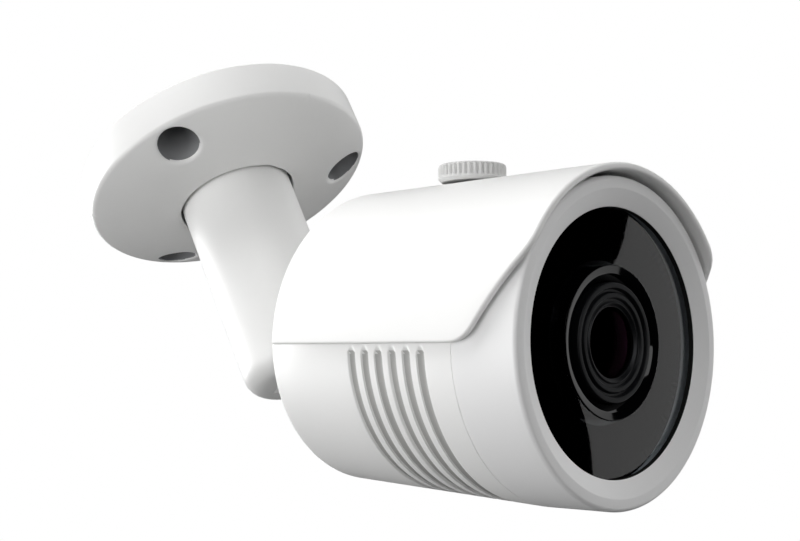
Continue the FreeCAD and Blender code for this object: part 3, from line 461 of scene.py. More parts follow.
@dataclass(frozen=True)
class ClearPane(Finish):
    """Clear glass or resin: its gloss follows the angle of sight and the rest is seen through."""

    tint: str = "#FFFFFF"
    sheen: str = "#FFFFFF"

    def finish(self, tree: bpy.types.NodeTree, shader: bpy.types.Node) -> bpy.types.NodeSocket:
        """Mix clear passage and gloss by the Fresnel share of the glass's index.

        Only outer faces have gloss: light that leaves the glass goes straight on.
        """
        clear = add_node(tree, "BsdfTransparent", {"Color": linear(self.tint)})
        share = add_node(tree, "Fresnel", {"IOR": self.ior}).outputs["Fac"]
        inner = add_node(tree, "NewGeometry").outputs["Backfacing"]
        share = calculated(tree, "MULTIPLY", share, calculated(tree, "SUBTRACT", 1.0, inner))
        gloss = add_node(tree, "BsdfGlossy",
                         {"Color": linear(self.sheen), "Roughness": self.roughness})
        tree.nodes.remove(shader)
        return mixed(tree, share, clear.outputs["BSDF"], gloss.outputs["BSDF"])


class Dress(Enum):
    """The finishes of the object, each named for its material and how its surface was made."""

    # Die-cast aluminium under a satin powder coat: soft sheen, the faint ripple of baked powder.
    POWDER_WHITE = Finish("powder_coated_aluminium_white", "#F1F1F0", 0.42, grain_mm=0.9,
                          grain_depth_mm=0.006, shade=0.02)
    # Painted shade: the powder coat in a greyer tone on the faces deep in the cooling grooves, standing in for
    # their shadow.
    POWDER_GROOVE = Finish("powder_coat_painted_groove_shade", "#C2C2C0", 0.5, grain_mm=0.9,
                           grain_depth_mm=0.006, shade=0.03)
    # The same coat on the front ring, a little smoother because it is turned before coating.
    POWDER_RING = Finish("powder_coated_aluminium_ring", "#EEEEEE", 0.38, grain_mm=0.7,
                         grain_depth_mm=0.004, shade=0.02)
    # Bent sheet with the same coat.
    POWDER_SHEET = Finish("powder_coated_sheet_white", "#F2F2F1", 0.40, grain_mm=1.1,
                          grain_depth_mm=0.006, shade=0.02)
    # Moulded ABS with a fine spark-eroded texture: dull, slightly greyer than the coat.
    MOULDED_ABS = Finish("moulded_abs_light_grey", "#CDCDCC", 0.55, grain_mm=0.25,
                         grain_depth_mm=0.012, shade=0.04)
    # Nitrile rubber: nearly black, broad weak sheen.
    NITRILE = Finish("moulded_nitrile_rubber", "#151515", 0.75, grain_mm=0.3, grain_depth_mm=0.02)
    # Painted shade: near black on the inner wall of the ring's lip round the window, where the wall lies in
    # shadow.
    SEALANT = Finish("lip_wall_painted_shade", "#060606", 0.7, grain_mm=0.4, grain_depth_mm=0.01)
    # Open-cell foam: no gloss, coarse pores.
    FOAM = Finish("open_cell_foam_black", "#0B0B0C", 0.95, grain_mm=0.45, grain_depth_mm=0.12,
                  shade=0.3)
    # Black anodised aluminium, turned: blue-black with a silky gleam on its rings.
    ANODISED = TurnedMetal("black_anodised_turned_aluminium", "#15171A", 0.38, metallic=0.55,
                           grain_mm=0.35, grain_depth_mm=0.012)
    # Zinc-plated steel: grey metal with a faint mottle.
    ZINC = Finish("zinc_plated_steel", "#A9ABAE", 0.32, metallic=1.0, grain_mm=0.4,
                  grain_depth_mm=0.004, unevenness=0.08, shade=0.12)
    # Raw die-cast aluminium inside: light grey, dull.
    CAST = Finish("die_cast_aluminium_raw", "#B4B5B7", 0.45, metallic=1.0, grain_mm=0.6,
                  grain_depth_mm=0.01, shade=0.1)
    # Painted shade inside the counterbores: a darker dull grey stands in for the shade in the holes.
    RECESS = Finish("counterbore_painted_shade", "#8A8B8D", 0.6, grain_mm=0.5, grain_depth_mm=0.02,
                    shade=0.15)
    # Natural nylon: milky and dull.
    NYLON = Finish("moulded_nylon_natural", "#E4E0D4", 0.5, ior=1.53, grain_mm=0.4)
    # Black moulded nylon of glands and holders.
    BLACK_NYLON = Finish("moulded_nylon_black", "#17181A", 0.48, ior=1.53, grain_mm=0.35,
                         grain_depth_mm=0.012)
    # Injection-moulded acrylic polished black: mirror-like bevels round the lens.
    BEZEL = Finish("polished_moulded_acrylic_black", "#040405", 0.06, grain_mm=2.0,
                   grain_depth_mm=0.0005, unevenness=0.02)
    # Black ink baked on the back of the window: seen through the glass it is a deep even black.
    WINDOW_INK = Finish("baked_black_ink", "#010101", 0.9, ior=1.02, grain_mm=0.2,
                        grain_depth_mm=0.002)
    # Polished hardened glass: clear, sharp reflections.
    WINDOW_GLASS = ClearPane("polished_hardened_glass", "#FFFFFF", 0.02, ior=1.52, tint="#E4E7E9")
    # Coated lens glass: clear with a violet to red cast; the coat leaves only a weak mirror, so
    # its index stands below that of bare glass.
    LENS_GLASS = ClearPane("coated_lens_glass", "#FFFFFF", 0.02, ior=1.15,
                           tint="#A87C90", sheen="#6E4060")
    # Tinted epoxy of the lamps.
    LAMP_RESIN = ClearPane("cast_tinted_epoxy", "#FFFFFF", 0.08, tint="#6A6070")
    # Glass-epoxy board under green solder mask.
    GREEN_BOARD = Finish("solder_masked_board_green", "#0F4A26", 0.35, grain_mm=0.8,
                         grain_depth_mm=0.02, shade=0.2)
    # The same board under black solder mask.
    BLACK_BOARD = Finish("solder_masked_board_black", "#0C0D0E", 0.4, grain_mm=0.8)
    # Epoxy chip package: dull black.
    CHIP = Finish("moulded_epoxy_package", "#1A1B1D", 0.6, grain_mm=0.15, grain_depth_mm=0.01)

    def material(self) -> bpy.types.Material:
        """The finish's material, made once."""
        made = bpy.data.materials.get(self.value.name)
        return made if made is not None else self.value.build()

    def on(self, made: bpy.types.Object) -> None:
        """Dress an object wholly in this finish."""
        made.data.materials.clear()
        made.data.materials.append(self.material())


SLOT_DRESS = {
    "bezel_gloss": Dress.BEZEL, "white_paint": Dress.POWDER_WHITE, "ring_paint": Dress.POWDER_RING,
    "shield_paint": Dress.POWDER_SHEET, "knob_plastic": Dress.MOULDED_ABS,
    "window_glass": Dress.WINDOW_GLASS, "seal_rubber": Dress.NITRILE, "foam": Dress.FOAM,
    "lens_metal": Dress.ANODISED, "lens_glass": Dress.LENS_GLASS, "steel": Dress.ZINC,
    "nylon": Dress.NYLON, "black_plastic": Dress.BLACK_NYLON, "circuit_board": Dress.GREEN_BOARD,
    "black_board": Dress.BLACK_BOARD, "chip": Dress.CHIP, "lamp_resin": Dress.LAMP_RESIN,
    "aluminium": Dress.CAST,
}
NODE_SLOT = {part["node"]: part["material_slot"] for part in frame["record"]["subparts"]}


def finished(made: bpy.types.Object, *nodes: str) -> bpy.types.Object:
    """Let a piece stand for CAD nodes, in the finish of the first one's material slot."""
    name = NODE_SLOT[nodes[0]]
    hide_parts(*nodes)
    SLOT_DRESS[name].on(made)
    LOG.info("%s stands for %s in %s", made.name, ", ".join(nodes), name)
    return made


def turned_piece(name: str, node: str, outline: np.ndarray,
                 sharp: float = SHARP) -> bpy.types.Object:
    """A closed outline turned about the camera's axis, standing for a CAD node."""
    made = Surface().turn(CAMERA, outline, closed=True)
    return finished(made.piece(name, "camera", sharp), node)


def face_rings(made: bpy.types.Object) -> tuple[np.ndarray, np.ndarray]:
    """The place along the camera's axis and the radius of each face's middle, in mm."""
    middles = CAMERA.local(made.data.polygons, "center")
    return middles[:, 0], np.hypot(middles[:, 1], middles[:, 2])


def second_finish(made: bpy.types.Object, dress: Dress, chosen: np.ndarray) -> None:
    """Give the chosen faces of a finished piece another finish."""
    made.data.materials.append(dress.material())
    made.data.polygons.foreach_set("material_index", chosen.astype(np.int32))


# ---- mounting plate ----------------------------------------------------------------------------

@dataclass
class MountingPlate:
    """Round plate with a domed face, three counterbores and a bearing pocket behind."""

    rim: float = 10.0
    crown: float = 5.9
    bore: float = 15.7
    holes: int = 3
    hole_inset: float = 6.6
    counterbore: float = 5.1
    floor: float = 3.2
    through: float = 2.25
    pocket: float = 25.0
    pocket_depth: float = 6.5
    seat: float = 20.5
    seat_depth: float = 11.0
    groove_inner: float = 34.9
    groove_outer: float = 36.9
    groove_depth: float = 1.2
    mouth_round: float = 0.9
    edge_round: float = 0.8
    back_round: float = 0.6
    arc_steps: int = 80
    side_steps: int = 22
    near_hole: float = 0.13       # share of a face's way from the hole where the rows are close
    near_edge: float = 0.1        # the same before the edge
    shade_rim_gap: float = 0.6       # height of the white coat's rim above the painted shade inside
    radius: float = field(init=False)
    circle: float = field(init=False)

    def __post_init__(self) -> None:
        """Take the plate's radius from its CAD node."""
        self.radius = span_of("mounting_plate", MOUNT).out
        self.circle = self.radius - self.hole_inset

    def boundary(self, inner: float, outer: float) -> np.ndarray:
        """The edge of one third of a ring between two radii, as (across, up) rows, anticlockwise.

        Both arcs have the same angles, so that neighbouring surfaces share their points.
        """
        half = math.pi / self.holes
        angle = np.linspace(-half, half, self.arc_steps + 1)
        down = np.linspace(outer, inner, self.side_steps + 1)[1:-1, None]
        left = down * np.array([[math.cos(half), math.sin(half)]])
        right = down[::-1] * np.array([[math.cos(half), -math.sin(half)]])
        ring = np.stack([np.cos(angle), np.sin(angle)], axis=1)
        return np.concatenate([outer * ring, left, inner * ring[::-1], right])

    def height(self, across: np.ndarray, up: np.ndarray) -> np.ndarray:
        """Depth of the domed face below the mounting face, with its rounded edges.

        The dome is an arc that is level at the bore and falls to the rim. Within an edge's radius
        the face drops by radius - sqrt(radius^2 - (radius - distance)^2).
        """
        out = np.hypot(across, up)
        run = self.radius - self.bore
        arc = (run ** 2 + self.crown ** 2) / (2 * self.crown)
        dome = np.sqrt(arc ** 2 - (out - self.bore) ** 2) - (arc - self.crown)
        hole = np.hypot(across - self.circle, up) - self.counterbore
        edges = ((hole, self.mouth_round), (self.radius - out, self.edge_round),
                 (out - self.bore, self.edge_round))
        for distance, radius in edges:
            near = np.clip(radius - distance, 0, radius)
            dome = dome - (radius - np.sqrt(radius ** 2 - near ** 2))
        return self.rim + dome

    def paint_counterbore_shade(self, piece: bpy.types.Object) -> None:
        """Paint shade inside the counterbores: faces near a hole's axis, below the dome, take a darker grey."""
        local = MOUNT.local(piece.data.polygons, "center")
        turns = self.turns()
        middles = self.circle * np.stack([np.sin(turns), np.cos(turns)], axis=1)
        away = np.linalg.norm(local[:, None, 1:] - middles[None], axis=2).min(axis=1)
        rim = self.height(np.array([self.circle - self.counterbore]), np.zeros(1))
        inside = (away < self.counterbore + 0.05) & (local[:, 0] < rim - self.shade_rim_gap)
        second_finish(piece, Dress.RECESS, inside & (local[:, 0] > 0.01))

    def turns(self) -> np.ndarray:
        """The angles of the holes about the plate's axis."""
        return math.pi / self.holes + np.arange(self.holes) * 2 * math.pi / self.holes

    def ringed(self, towards: np.ndarray, radius: float) -> np.ndarray:
        """Points of a circle round the hole's axis, towards the given points."""
        centre = np.array([self.circle, 0.0])
        away = towards - centre
        return centre + radius * away / np.linalg.norm(away, axis=1)[:, None]

    @staticmethod
    def lay(made: Surface, turn: float, flat: np.ndarray, depth: np.ndarray) -> None:
        """Add a closed grid of (across, up) points and depths, turned about the plate's axis."""
        across = flat[..., 0] * math.cos(turn) - flat[..., 1] * math.sin(turn)
        side = flat[..., 0] * math.sin(turn) + flat[..., 1] * math.cos(turn)
        made.add(MOUNT.place(depth, side, across), grid_faces(*flat.shape[:2], False, True))

    def third(self, made: Surface, turn: float, hole: float, edge: np.ndarray, shares: np.ndarray,
              level: Callable[[np.ndarray, np.ndarray], np.ndarray]) -> None:
        """One third of a face with its hole: rows go from the hole's rim to the boundary.

        A point is rim + share * (boundary - rim), where the rim point lies on the hole's circle
        towards the boundary point.
        """
        rim = self.ringed(edge, hole)
        flat = rim[None] + (edge - rim)[None] * shares[:, None, None]
        self.lay(made, turn, flat, level(flat[..., 0], flat[..., 1]))

    def well(self, made: Surface, turn: float, front: np.ndarray, back: np.ndarray) -> None:
        """The counterbore's wall, floor and through hole, on the rays of the two faces."""
        rim, narrow = self.ringed(front, self.counterbore), self.ringed(front, self.through)
        hole = self.ringed(back, self.through)
        floor = np.full(len(rim), self.floor)
        for flats, depths in (((rim, rim), (self.height(rim[:, 0], rim[:, 1]), floor)),
                              ((rim, narrow), (floor, floor)), ((hole, hole), (floor, 0 * floor))):
            self.lay(made, turn, np.stack(flats), np.stack(depths))

    def build(self) -> None:
        """Gather the faces, the counterbores, the rim and the pocket into one closed piece."""
        made = Surface()
        facets = self.holes * self.arc_steps
        front = self.boundary(self.bore, self.radius)
        back = self.boundary(self.pocket, self.groove_inner)
        curl = 1 - np.cos(np.linspace(0, QUARTER, 8))
        even = np.linspace(self.near_hole, 1 - self.near_edge, 16)
        shares = np.unique(np.concatenate([curl * self.near_hole, even, 1 - curl * self.near_edge]))
        shares[0], shares[-1] = 0.0, 1.0
        for turn in self.turns():
            self.third(made, turn, self.counterbore, front, shares, self.height)
            self.third(made, turn, self.through, back, np.linspace(0, 1, 6),
                       lambda across, up: np.zeros_like(across))
            self.well(made, turn, front, back)
        edge = float(self.height(np.array([self.radius]), np.array([0.0]))[0])
        lip = float(self.height(np.array([self.bore]), np.array([0.0]))[0])
        rim = rounded([(edge, self.radius), (0.0, self.radius, self.back_round),
                       (0.0, self.groove_outer), (self.groove_depth, self.groove_outer),
                       (self.groove_depth, self.groove_inner), (0.0, self.groove_inner)])
        pocket = rounded([(0.0, self.pocket), (self.pocket_depth, self.pocket),
                          (self.pocket_depth, self.seat), (self.seat_depth, self.seat),
                          (self.seat_depth, self.bore), (lip, self.bore)])
        for outline in (rim, pocket):
            made.turn(MOUNT, outline, facets=facets)
        # The counterbores get their painted shade inside.
        self.paint_counterbore_shade(finished(made.piece("mounting_plate_body", "mount"), "mounting_plate"))


# ---- arm, knuckle and their small parts --------------------------------------------------------

@dataclass
class Arm:
    """Hanging arm with its flange, cable bore and forked lower end."""

    flange: float = 20.0
    flange_thick: float = 3.3
    root: float = 15.0
    tip: float = 14.6
    tip_round: float = 4.8
    bore: float = 6.5
    slot_half: float = 5.5
    slot_back: float = 7.3
    slot_roof: float = 8.5
    bolt: float = 2.55
    head: float = 4.2
    head_seat: float = 10.2
    spare: float = 3.0            # how far a cutter reaches past the arm's side
    spare_low: float = 5.0        # and past its lower end

    def build(self) -> None:
        """Turn the arm, then cut its slot and the bolt's seat."""
        size = span_of("arm", MOUNT)
        pivot = -CAMERA.origin[2] / MM
        front = size.start + self.flange_thick
        outline = rounded([(size.start, self.bore), (size.start, self.flange, 0.3),
                           (front, self.flange, 0.3), (front, self.root),
                           (size.end, self.tip, self.tip_round), (size.end, 0.0)])
        inside = rounded([(size.start, self.bore), (pivot, self.bore), (pivot, 0.0)])
        made = Surface().turn(MOUNT, densified(outline, 2.0)).turn(MOUNT, inside)
        piece = made.piece("arm_body", "arm")
        roof, low, past = pivot - self.slot_roof, size.end + self.spare_low, self.root + self.spare
        slot = rounded([(roof, -self.slot_back, 1.0), (low, -self.slot_back), (low, past),
                        (roof, past)], closed=True)
        cut_by(piece, prism(MOUNT, slot, self.slot_half).piece("slot_cutter", "arm"))
        cross = MOUNT.moved(along=pivot).turned((0.0, 1.0, 0.0), (0.0, 0.0, 1.0))
        seat = rounded([(-self.head_seat, 0.0), (-self.head_seat, self.bolt),
                        (self.head_seat, self.bolt), (self.head_seat, self.head),
                        (past, self.head), (past, 0.0)])
        cut_by(piece, Surface().turn(cross, seat, facets=64).piece("seat_cutter", "arm"))
        finished(piece, "arm")


@dataclass
class Knuckle:
    """Tongue with its eye, swivel flange and spigot."""

    eye: float = 6.8
    neck: float = 5.6
    half: float = 5.3
    edge: float = 0.6
    swivel_thick: float = 4.0
    swivel: float = 14.0
    swivel_start: float = 18.3
    spigot: float = 8.0

    def build(self) -> None:
        """The tongue is a plate with rounded edges, the flange and spigot are turned."""
        size = span_of("knuckle", CAMERA)
        open_half = math.asin(self.neck / self.eye)
        angle = np.linspace(open_half, 2 * math.pi - open_half, 60)
        eye = np.stack([self.eye * np.cos(angle), self.eye * np.sin(angle)], axis=1)
        end = np.array([[self.swivel_start + 1, -self.neck], [self.swivel_start + 1, self.neck]])
        made = prism(CAMERA, np.concatenate([eye, end]), self.half, self.edge)
        front = self.swivel_start + self.swivel_thick
        turned = rounded([(self.swivel_start, 0.0), (self.swivel_start, self.swivel, 1.2),
                          (front, self.swivel, 0.3), (front, self.spigot),
                          (size.end, self.spigot, 0.5), (size.end, 0.0)])
        made.turn(CAMERA, turned)
        finished(made.piece("knuckle_body", "knuckle"), "knuckle")


def socket_head(axes: Axes, seat: float, head: float, thick: float, shank: float, reach: float,
                key: float, deep: float) -> Surface:
    """A hexagon-socket cap screw: turned head and shank, and a six-sided recess.

    The recess's radius at angle t is key / cos(t taken to the nearest side's middle).
    """
    back = seat - thick
    made = Surface()
    outside = rounded([(back, key * 1.35), (back, head, 0.35), (seat, head), (seat, shank),
                       (seat + reach, shank, 0.3), (seat + reach, 0.0)])
    made.turn(axes, outside, facets=72)

    def hexagon(out: np.ndarray, angle: np.ndarray) -> np.ndarray:
        """Six flat sides where the outline's radius is the key's."""
        side = math.pi / 3
        near = (angle + side / 2) % side - side / 2
        return np.where(np.abs(out - key) < 1e-6, key / np.cos(near), out)

    inside = np.array([(back, key * 1.35), (back, key), (back + deep, key), (back + deep, 0.0)])
    return made.turn(axes, inside, facets=72, shape=hexagon)


# ---- camera shell ------------------------------------------------------------------------------

@dataclass
class Housing:
    """Tapered shell whose lower half carries the cooling grooves."""

    seam_radius: float = 33.3
    tail_radius: float = 31.35
    tail_round: float = 1.5
    bore: float = 28.4
    recess: float = 4.7
    grooves: int = 6
    first: float = 8.4
    pitch: float = 4.1
    groove_half: float = 1.15
    groove_depth: float = 1.2
    below: float = math.radians(2.0)
    seam_round: float = 0.25
    core: float = 1.5             # nothing nearer to the bore than this is dented
    row_step: float = 0.17        # distance of the rows across the grooves
    facets: int = 300

    def dent(self, along: np.ndarray, seam: float) -> Reshape:
        """The change of radius that makes the grooves.

        With d the distance from the nearest groove's middle line, whose ends stop short by half a
        groove so that they are round, the wall sinks by depth * (1 - (d/half)^2)^0.7.
        """
        place = seam - self.first - along
        number = np.clip(np.round(place / self.pitch), 0, self.grooves - 1)
        across = (place - number * self.pitch)[:, None]

        def shape(out: np.ndarray, angle: np.ndarray) -> np.ndarray:
            """Sink the outer wall near a groove."""
            low = math.pi - np.abs(np.arccos(np.clip(np.cos(angle), -1, 1)))
            limit = QUARTER - self.below - self.groove_half / self.seam_radius
            beyond = np.clip(low - limit, 0, None) * self.seam_radius
            near = np.clip(np.hypot(across, beyond) / self.groove_half, 0, 1)
            dent = self.groove_depth * (1 - near ** 2) ** 0.7
            return np.where(out > self.bore + self.core, out - dent, out)

        return shape

    def build(self) -> None:
        """Turn the outer wall with its grooves and the inner wall."""
        size = span_of("housing", CAMERA)
        outer = rounded([(size.start, self.bore), (size.start, self.tail_radius, self.tail_round),
                         (size.end, self.seam_radius, self.seam_round), (size.end, self.bore)])
        low = size.end - self.first - (self.grooves - 1) * self.pitch - self.groove_half
        high = size.end - self.first + self.groove_half
        ends = np.array([low - 1.0, high + 0.5])
        ramp = densified(np.stack([ends, self.wall(ends, size)], axis=1), self.row_step)
        line = np.concatenate([outer[outer[:, 0] < ends[0]], ramp, outer[outer[:, 0] > ends[1]]])
        inner = np.array([[size.end, self.bore], [size.start + self.recess, self.bore],
                          [size.start, self.bore]])
        made = Surface().turn(CAMERA, line, shape=self.dent(line[:, 0], size.end),
                              facets=self.facets)
        made.turn(CAMERA, inner, facets=self.facets)
        shell = finished(made.piece("housing_shell", "camera", sharp=50), "housing")
        # Painted shade: faces sunk deep in the grooves take the greyer groove finish in place of their shadow.
        place, out = face_rings(shell)
        below = self.wall(place, size) - self.groove_depth / 3
        sunk = (out > self.bore + self.core) & (out < below)
        second_finish(shell, Dress.POWDER_GROOVE, sunk & (place > low) & (place < high))

    def wall(self, along: np.ndarray, size: Span) -> np.ndarray:
        """The outer radius of the tapered wall at places along the axis."""
        share = (size.end - along) / (size.end - size.start)
        return self.seam_radius - (self.seam_radius - self.tail_radius) * share


@dataclass
class FrontRing:
    """Screwed front ring with its rounded band, bevel and lip."""

    radius: float = 33.0
    seam_radius: float = 33.3
    edge_round: float = 0.9
    band: float = 2.5
    bevel: float = 3.6
    bevel_depth: float = 1.5
    lip_depth: float = 1.2
    glass: float = 28.6
    glass_stop: float = 4.0       # from the seam to the window's seat
    spigot: float = 28.35
    bore: float = 26.2

    def build(self) -> None:
        """Turn the ring's closed outline; the lip's inner wall is painted near black as shade."""
        size = span_of("front_ring", CAMERA)
        seam = span_of("housing", CAMERA).end
        opening = self.radius - self.band - self.bevel
        seat, lip = seam + self.glass_stop, size.end - self.bevel_depth
        outline = rounded([
            (size.start, self.bore), (seat, self.bore), (seat, self.glass),
            (lip - self.lip_depth, self.glass), (lip - self.lip_depth, opening),
            (lip, opening, 0.25), (size.end, self.radius - self.band, 0.6),
            (size.end, self.radius, self.edge_round), (seam, self.seam_radius, 0.2),
            (seam, self.spigot), (size.start, self.spigot)], closed=True)
        ring = turned_piece("front_ring_body", "front_ring", outline)
        place, out = face_rings(ring)
        # Painted shade: the faces of the lip's inner wall take a near black finish.
        wall = (abs(out - opening) < 0.1) & (abs(place - lip + self.lip_depth / 2) < 0.5)
        second_finish(ring, Dress.SEALANT, wall)


@dataclass
class RearEnd:
    """Rear cap with its boss, its screws and the cable gland."""

    boss: float = 14.0
    boss_bore: float = 8.07
    washer_gap: float = 0.03
    thick: float = 3.5
    edge: float = 28.2
    screws: int = 3
    screw_circle: float = 23.6
    gland_low: float = 19.4
    throat: float = 2.2
    nut: float = 4.6
    nut_long: float = 7.0
    nut_round: float = 1.2
    neck: float = 3.6
    ribs: int = 12
    rib_depth: float = 0.18

    def build(self) -> None:
        """Turn the cap; the screws and the gland stand on it."""
        size = span_of("rear_cap", CAMERA)
        back, start = size.end - self.thick, size.start + self.washer_gap
        outline = rounded([(start, self.boss_bore), (start, self.boss, 0.8), (back, self.boss),
                           (back, self.edge, 0.5), (size.end, self.edge),
                           (size.end, self.boss_bore)], closed=True)
        turned_piece("rear_cap_body", "rear_cap", densified(outline, 4.0))
        heads = Surface()
        for index in range(self.screws):
            angle = 2 * math.pi * index / self.screws
            spot = CAMERA.moved(side=self.screw_circle * math.sin(angle),
                                up=self.screw_circle * math.cos(angle))
            heads.join(socket_head(spot, back, head=2.5, thick=1.1, shank=1.45, reach=5.0, key=0.8,
                                   deep=0.7))
        finished(heads.piece("cap_screw_set", "camera"), "cap_screws")
        self.gland()

    def gland(self) -> None:
        """Cable gland: domed nut with grip ribs on a plain neck, with the lead's throat."""
        axes = CAMERA.moved(up=-self.gland_low)
        size = span_of("cable_gland", axes)
        step = size.start + self.nut_long

        def ribbed(out: np.ndarray, angle: np.ndarray) -> np.ndarray:
            """Where the outline is the nut's, the radius dips by depth * (1 + cos(ribs*t)) / 2."""
            rib = self.rib_depth * (1 + np.cos(self.ribs * angle)) / 2
            return np.where(out > (self.nut + self.neck) / 2 + 0.1, out - rib, out)

        outline = rounded([(size.start, self.throat), (size.start, self.nut, self.nut_round),
                           (step, self.nut), (step, self.neck), (size.end, self.neck),
                           (size.end, self.throat)], closed=True)
        made = Surface().turn(axes, densified(outline, 0.6), closed=True, facets=144, shape=ribbed)
        finished(made.piece("cable_gland_body", "camera"), "cable_gland")


# ---- sunshield and thumb screw -----------------------------------------------------------------

@dataclass
class Sunshield:
    """Half-round shell whose front edge slants back towards its lower corners."""

    gap: float = 0.64
    thick: float = 1.5
    seam_radius: float = 33.3
    chin: float = 14.4
    visor: float = 2.0
    slant: float = math.radians(55.0)
    chin_round: float = 7.0
    brow_round: float = 8.0
    edge_round: float = 0.6
    slot_long: float = 5.2
    slot_wide: float = 2.2
    slot_round: float = 1.0
    rows: int = 34
    edge_points: int = 640

    def side_outline(self, face: float, tail: float, outer: float) -> np.ndarray:
        """The edge in side view as (along, up) rows, from the top front to the rear bottom."""
        front = face + self.visor
        chin = self.chin_round * math.tan(self.slant / 2)
        corner = face - self.chin + chin
        rise = (front - corner) * math.tan(self.slant)
        line = rounded([(front, outer), (front, rise, self.brow_round),
                        (corner, 0.0, self.chin_round), (tail, 0.0)])
        return densified(line, 0.8)

    def build(self) -> None:
        """Lay the outline on the cylinder and draw the shell inwards from its edge.

        A side-view point (along, up) lies at angle acos(up / outer radius) from the top. The whole
        edge is that curve, its mirror image and the straight rear edge. Row k of the grid is the
        edge moved a share of the way to the middle of the shell; within the edge's radius the
        outer face sinks and the inner face rises as a quarter circle. Last comes the slot.
        """
        face = span_of("front_ring", CAMERA).end
        tail = span_of("sunshield", CAMERA).start
        inner = self.seam_radius + self.gap
        outer = inner + self.thick
        side = self.side_outline(face, tail, outer)
        angle = np.arccos(np.clip(side[:, 1] / outer, -1, 1))
        curve = np.stack([side[:, 0], outer * angle], axis=1)
        rear = np.linspace(curve[-1, 1], -curve[-1, 1], 140)[1:-1]
        mirror = curve[::-1] * np.array([1.0, -1.0])
        straight = np.stack([np.full_like(rear, tail), rear], axis=1)
        loop = np.concatenate([curve, straight, mirror[:-1]])
        loop = self.evened(loop, self.edge_points)
        middle = np.array([(tail + face) / 2, 0.0])
        inward = normals(loop)
        inward = inward * np.sign((middle - loop[0]) @ inward[0])
        arc = np.linspace(0, QUARTER, 6)
        edge_rows = loop[None] + inward[None] * (self.edge_round * (1 - np.cos(arc)))[:, None, None]
        share = np.linspace(0, 1, self.rows)[1:, None, None]
        flat = np.concatenate([edge_rows, edge_rows[-1] + (middle - edge_rows[-1]) * share])
        sink = self.edge_round * (1 - np.sin(arc))
        drop = np.concatenate([sink, np.zeros(self.rows - 1)])[:, None]
        top, under = self.laid(flat, outer - drop, outer), self.laid(flat, inner + drop, outer)
        count = len(loop)
        faces = grid_faces(len(flat), count, False, True)
        band = np.concatenate([top[:count], under[:count]])
        made = Surface().add(top, faces).add(under, faces)
        made.add(band, grid_faces(2, count, False, True))
        piece = made.piece("sunshield_shell", "sunshield")
        across = Axes(STUD_FOOT, CAMERA.along, CAMERA.up).turned((1.0, 0.0, 0.0), (0.0, -1.0, 0.0))
        slot = rounded([(long * self.slot_long, wide * self.slot_wide, self.slot_round)
                        for long, wide in ((-1, -1), (1, -1), (1, 1), (-1, 1))], closed=True)
        cut_by(piece, prism(across, slot, outer + 1).piece("slot_cutter", "sunshield"))
        finished(piece, "sunshield")

    def laid(self, flat: np.ndarray, radius: np.ndarray, outer: float) -> np.ndarray:
        """Points of the unrolled sheet (along, arc length) on a cylinder of the given radius."""
        angle = flat[..., 1] / outer
        radius = np.broadcast_to(radius, angle.shape)
        return CAMERA.place(flat[..., 0], radius * np.sin(angle), radius * np.cos(angle))

    @staticmethod
    def evened(loop: np.ndarray, count: int) -> np.ndarray:
        """The same closed curve with evenly spaced points."""
        closed = np.concatenate([loop, loop[:1]])
        length = np.concatenate([[0.0], np.cumsum(np.linalg.norm(np.diff(closed, axis=0), axis=1))])
        spots = np.linspace(0, length[-1], count, endpoint=False)
        return np.stack([np.interp(spots, length, closed[:, k]) for k in (0, 1)], axis=1)


@dataclass
class ThumbScrew:
    """Knurled head with a plain skirt and the stud below it."""

    radius: float = 7.54
    tall: float = 3.9
    skirt: float = 1.0
    stud: float = 1.95
    flutes: int = 38
    flute_depth: float = 0.5
    fade: float = 0.35            # length over which a flute begins and ends
    chamfer: float = 0.7
    dish: float = 2.0             # width of the plain rim round the sunk top
    dish_depth: float = 0.12

    def build(self) -> None:
        """Turn the head and the stud; between skirt and top the radius dips at each flute.

        The dip is depth * (1 - |sin(flutes * t / 2)|^1.3), so that the ribs are round.
        """
        axis = Axes(STUD_FOOT, CAMERA.up, tuple(-np.array(CAMERA.along)))
        size = span_of("knob", axis)
        bottom, sunk = size.end - self.tall, size.end - self.dish_depth
        outline = rounded([(size.start, 0.0), (size.start, self.stud, 0.3), (bottom, self.stud),
                           (bottom, self.radius - self.chamfer, 0.2),
                           (bottom + self.chamfer, self.radius, 0.2),
                           (size.end, self.radius, self.chamfer),
                           (size.end, self.radius - self.dish + 0.4),
                           (sunk, self.radius - self.dish), (sunk, 0.0)])
        line = densified(outline, 0.25)
        rise = np.clip((line[:, 0] - bottom - self.skirt) / self.fade, 0, 1)
        fall = np.clip((size.end - 0.25 - line[:, 0]) / self.fade, 0, 1)
        band = np.where(line[:, 1] > self.radius - 1.2, rise * fall, 0.0)[:, None]

        def fluted(out: np.ndarray, angle: np.ndarray) -> np.ndarray:
            """Valleys between round ribs."""
            valley = 1 - np.abs(np.sin(self.flutes * angle / 2)) ** 1.3
            return out - self.flute_depth * band * valley

        made = Surface().turn(axis, line, facets=self.flutes * 14, shape=fluted)
        finished(made.piece("thumb_screw", "knob", sharp=60), "knob")


# ---- window and lens ---------------------------------------------------------------------------

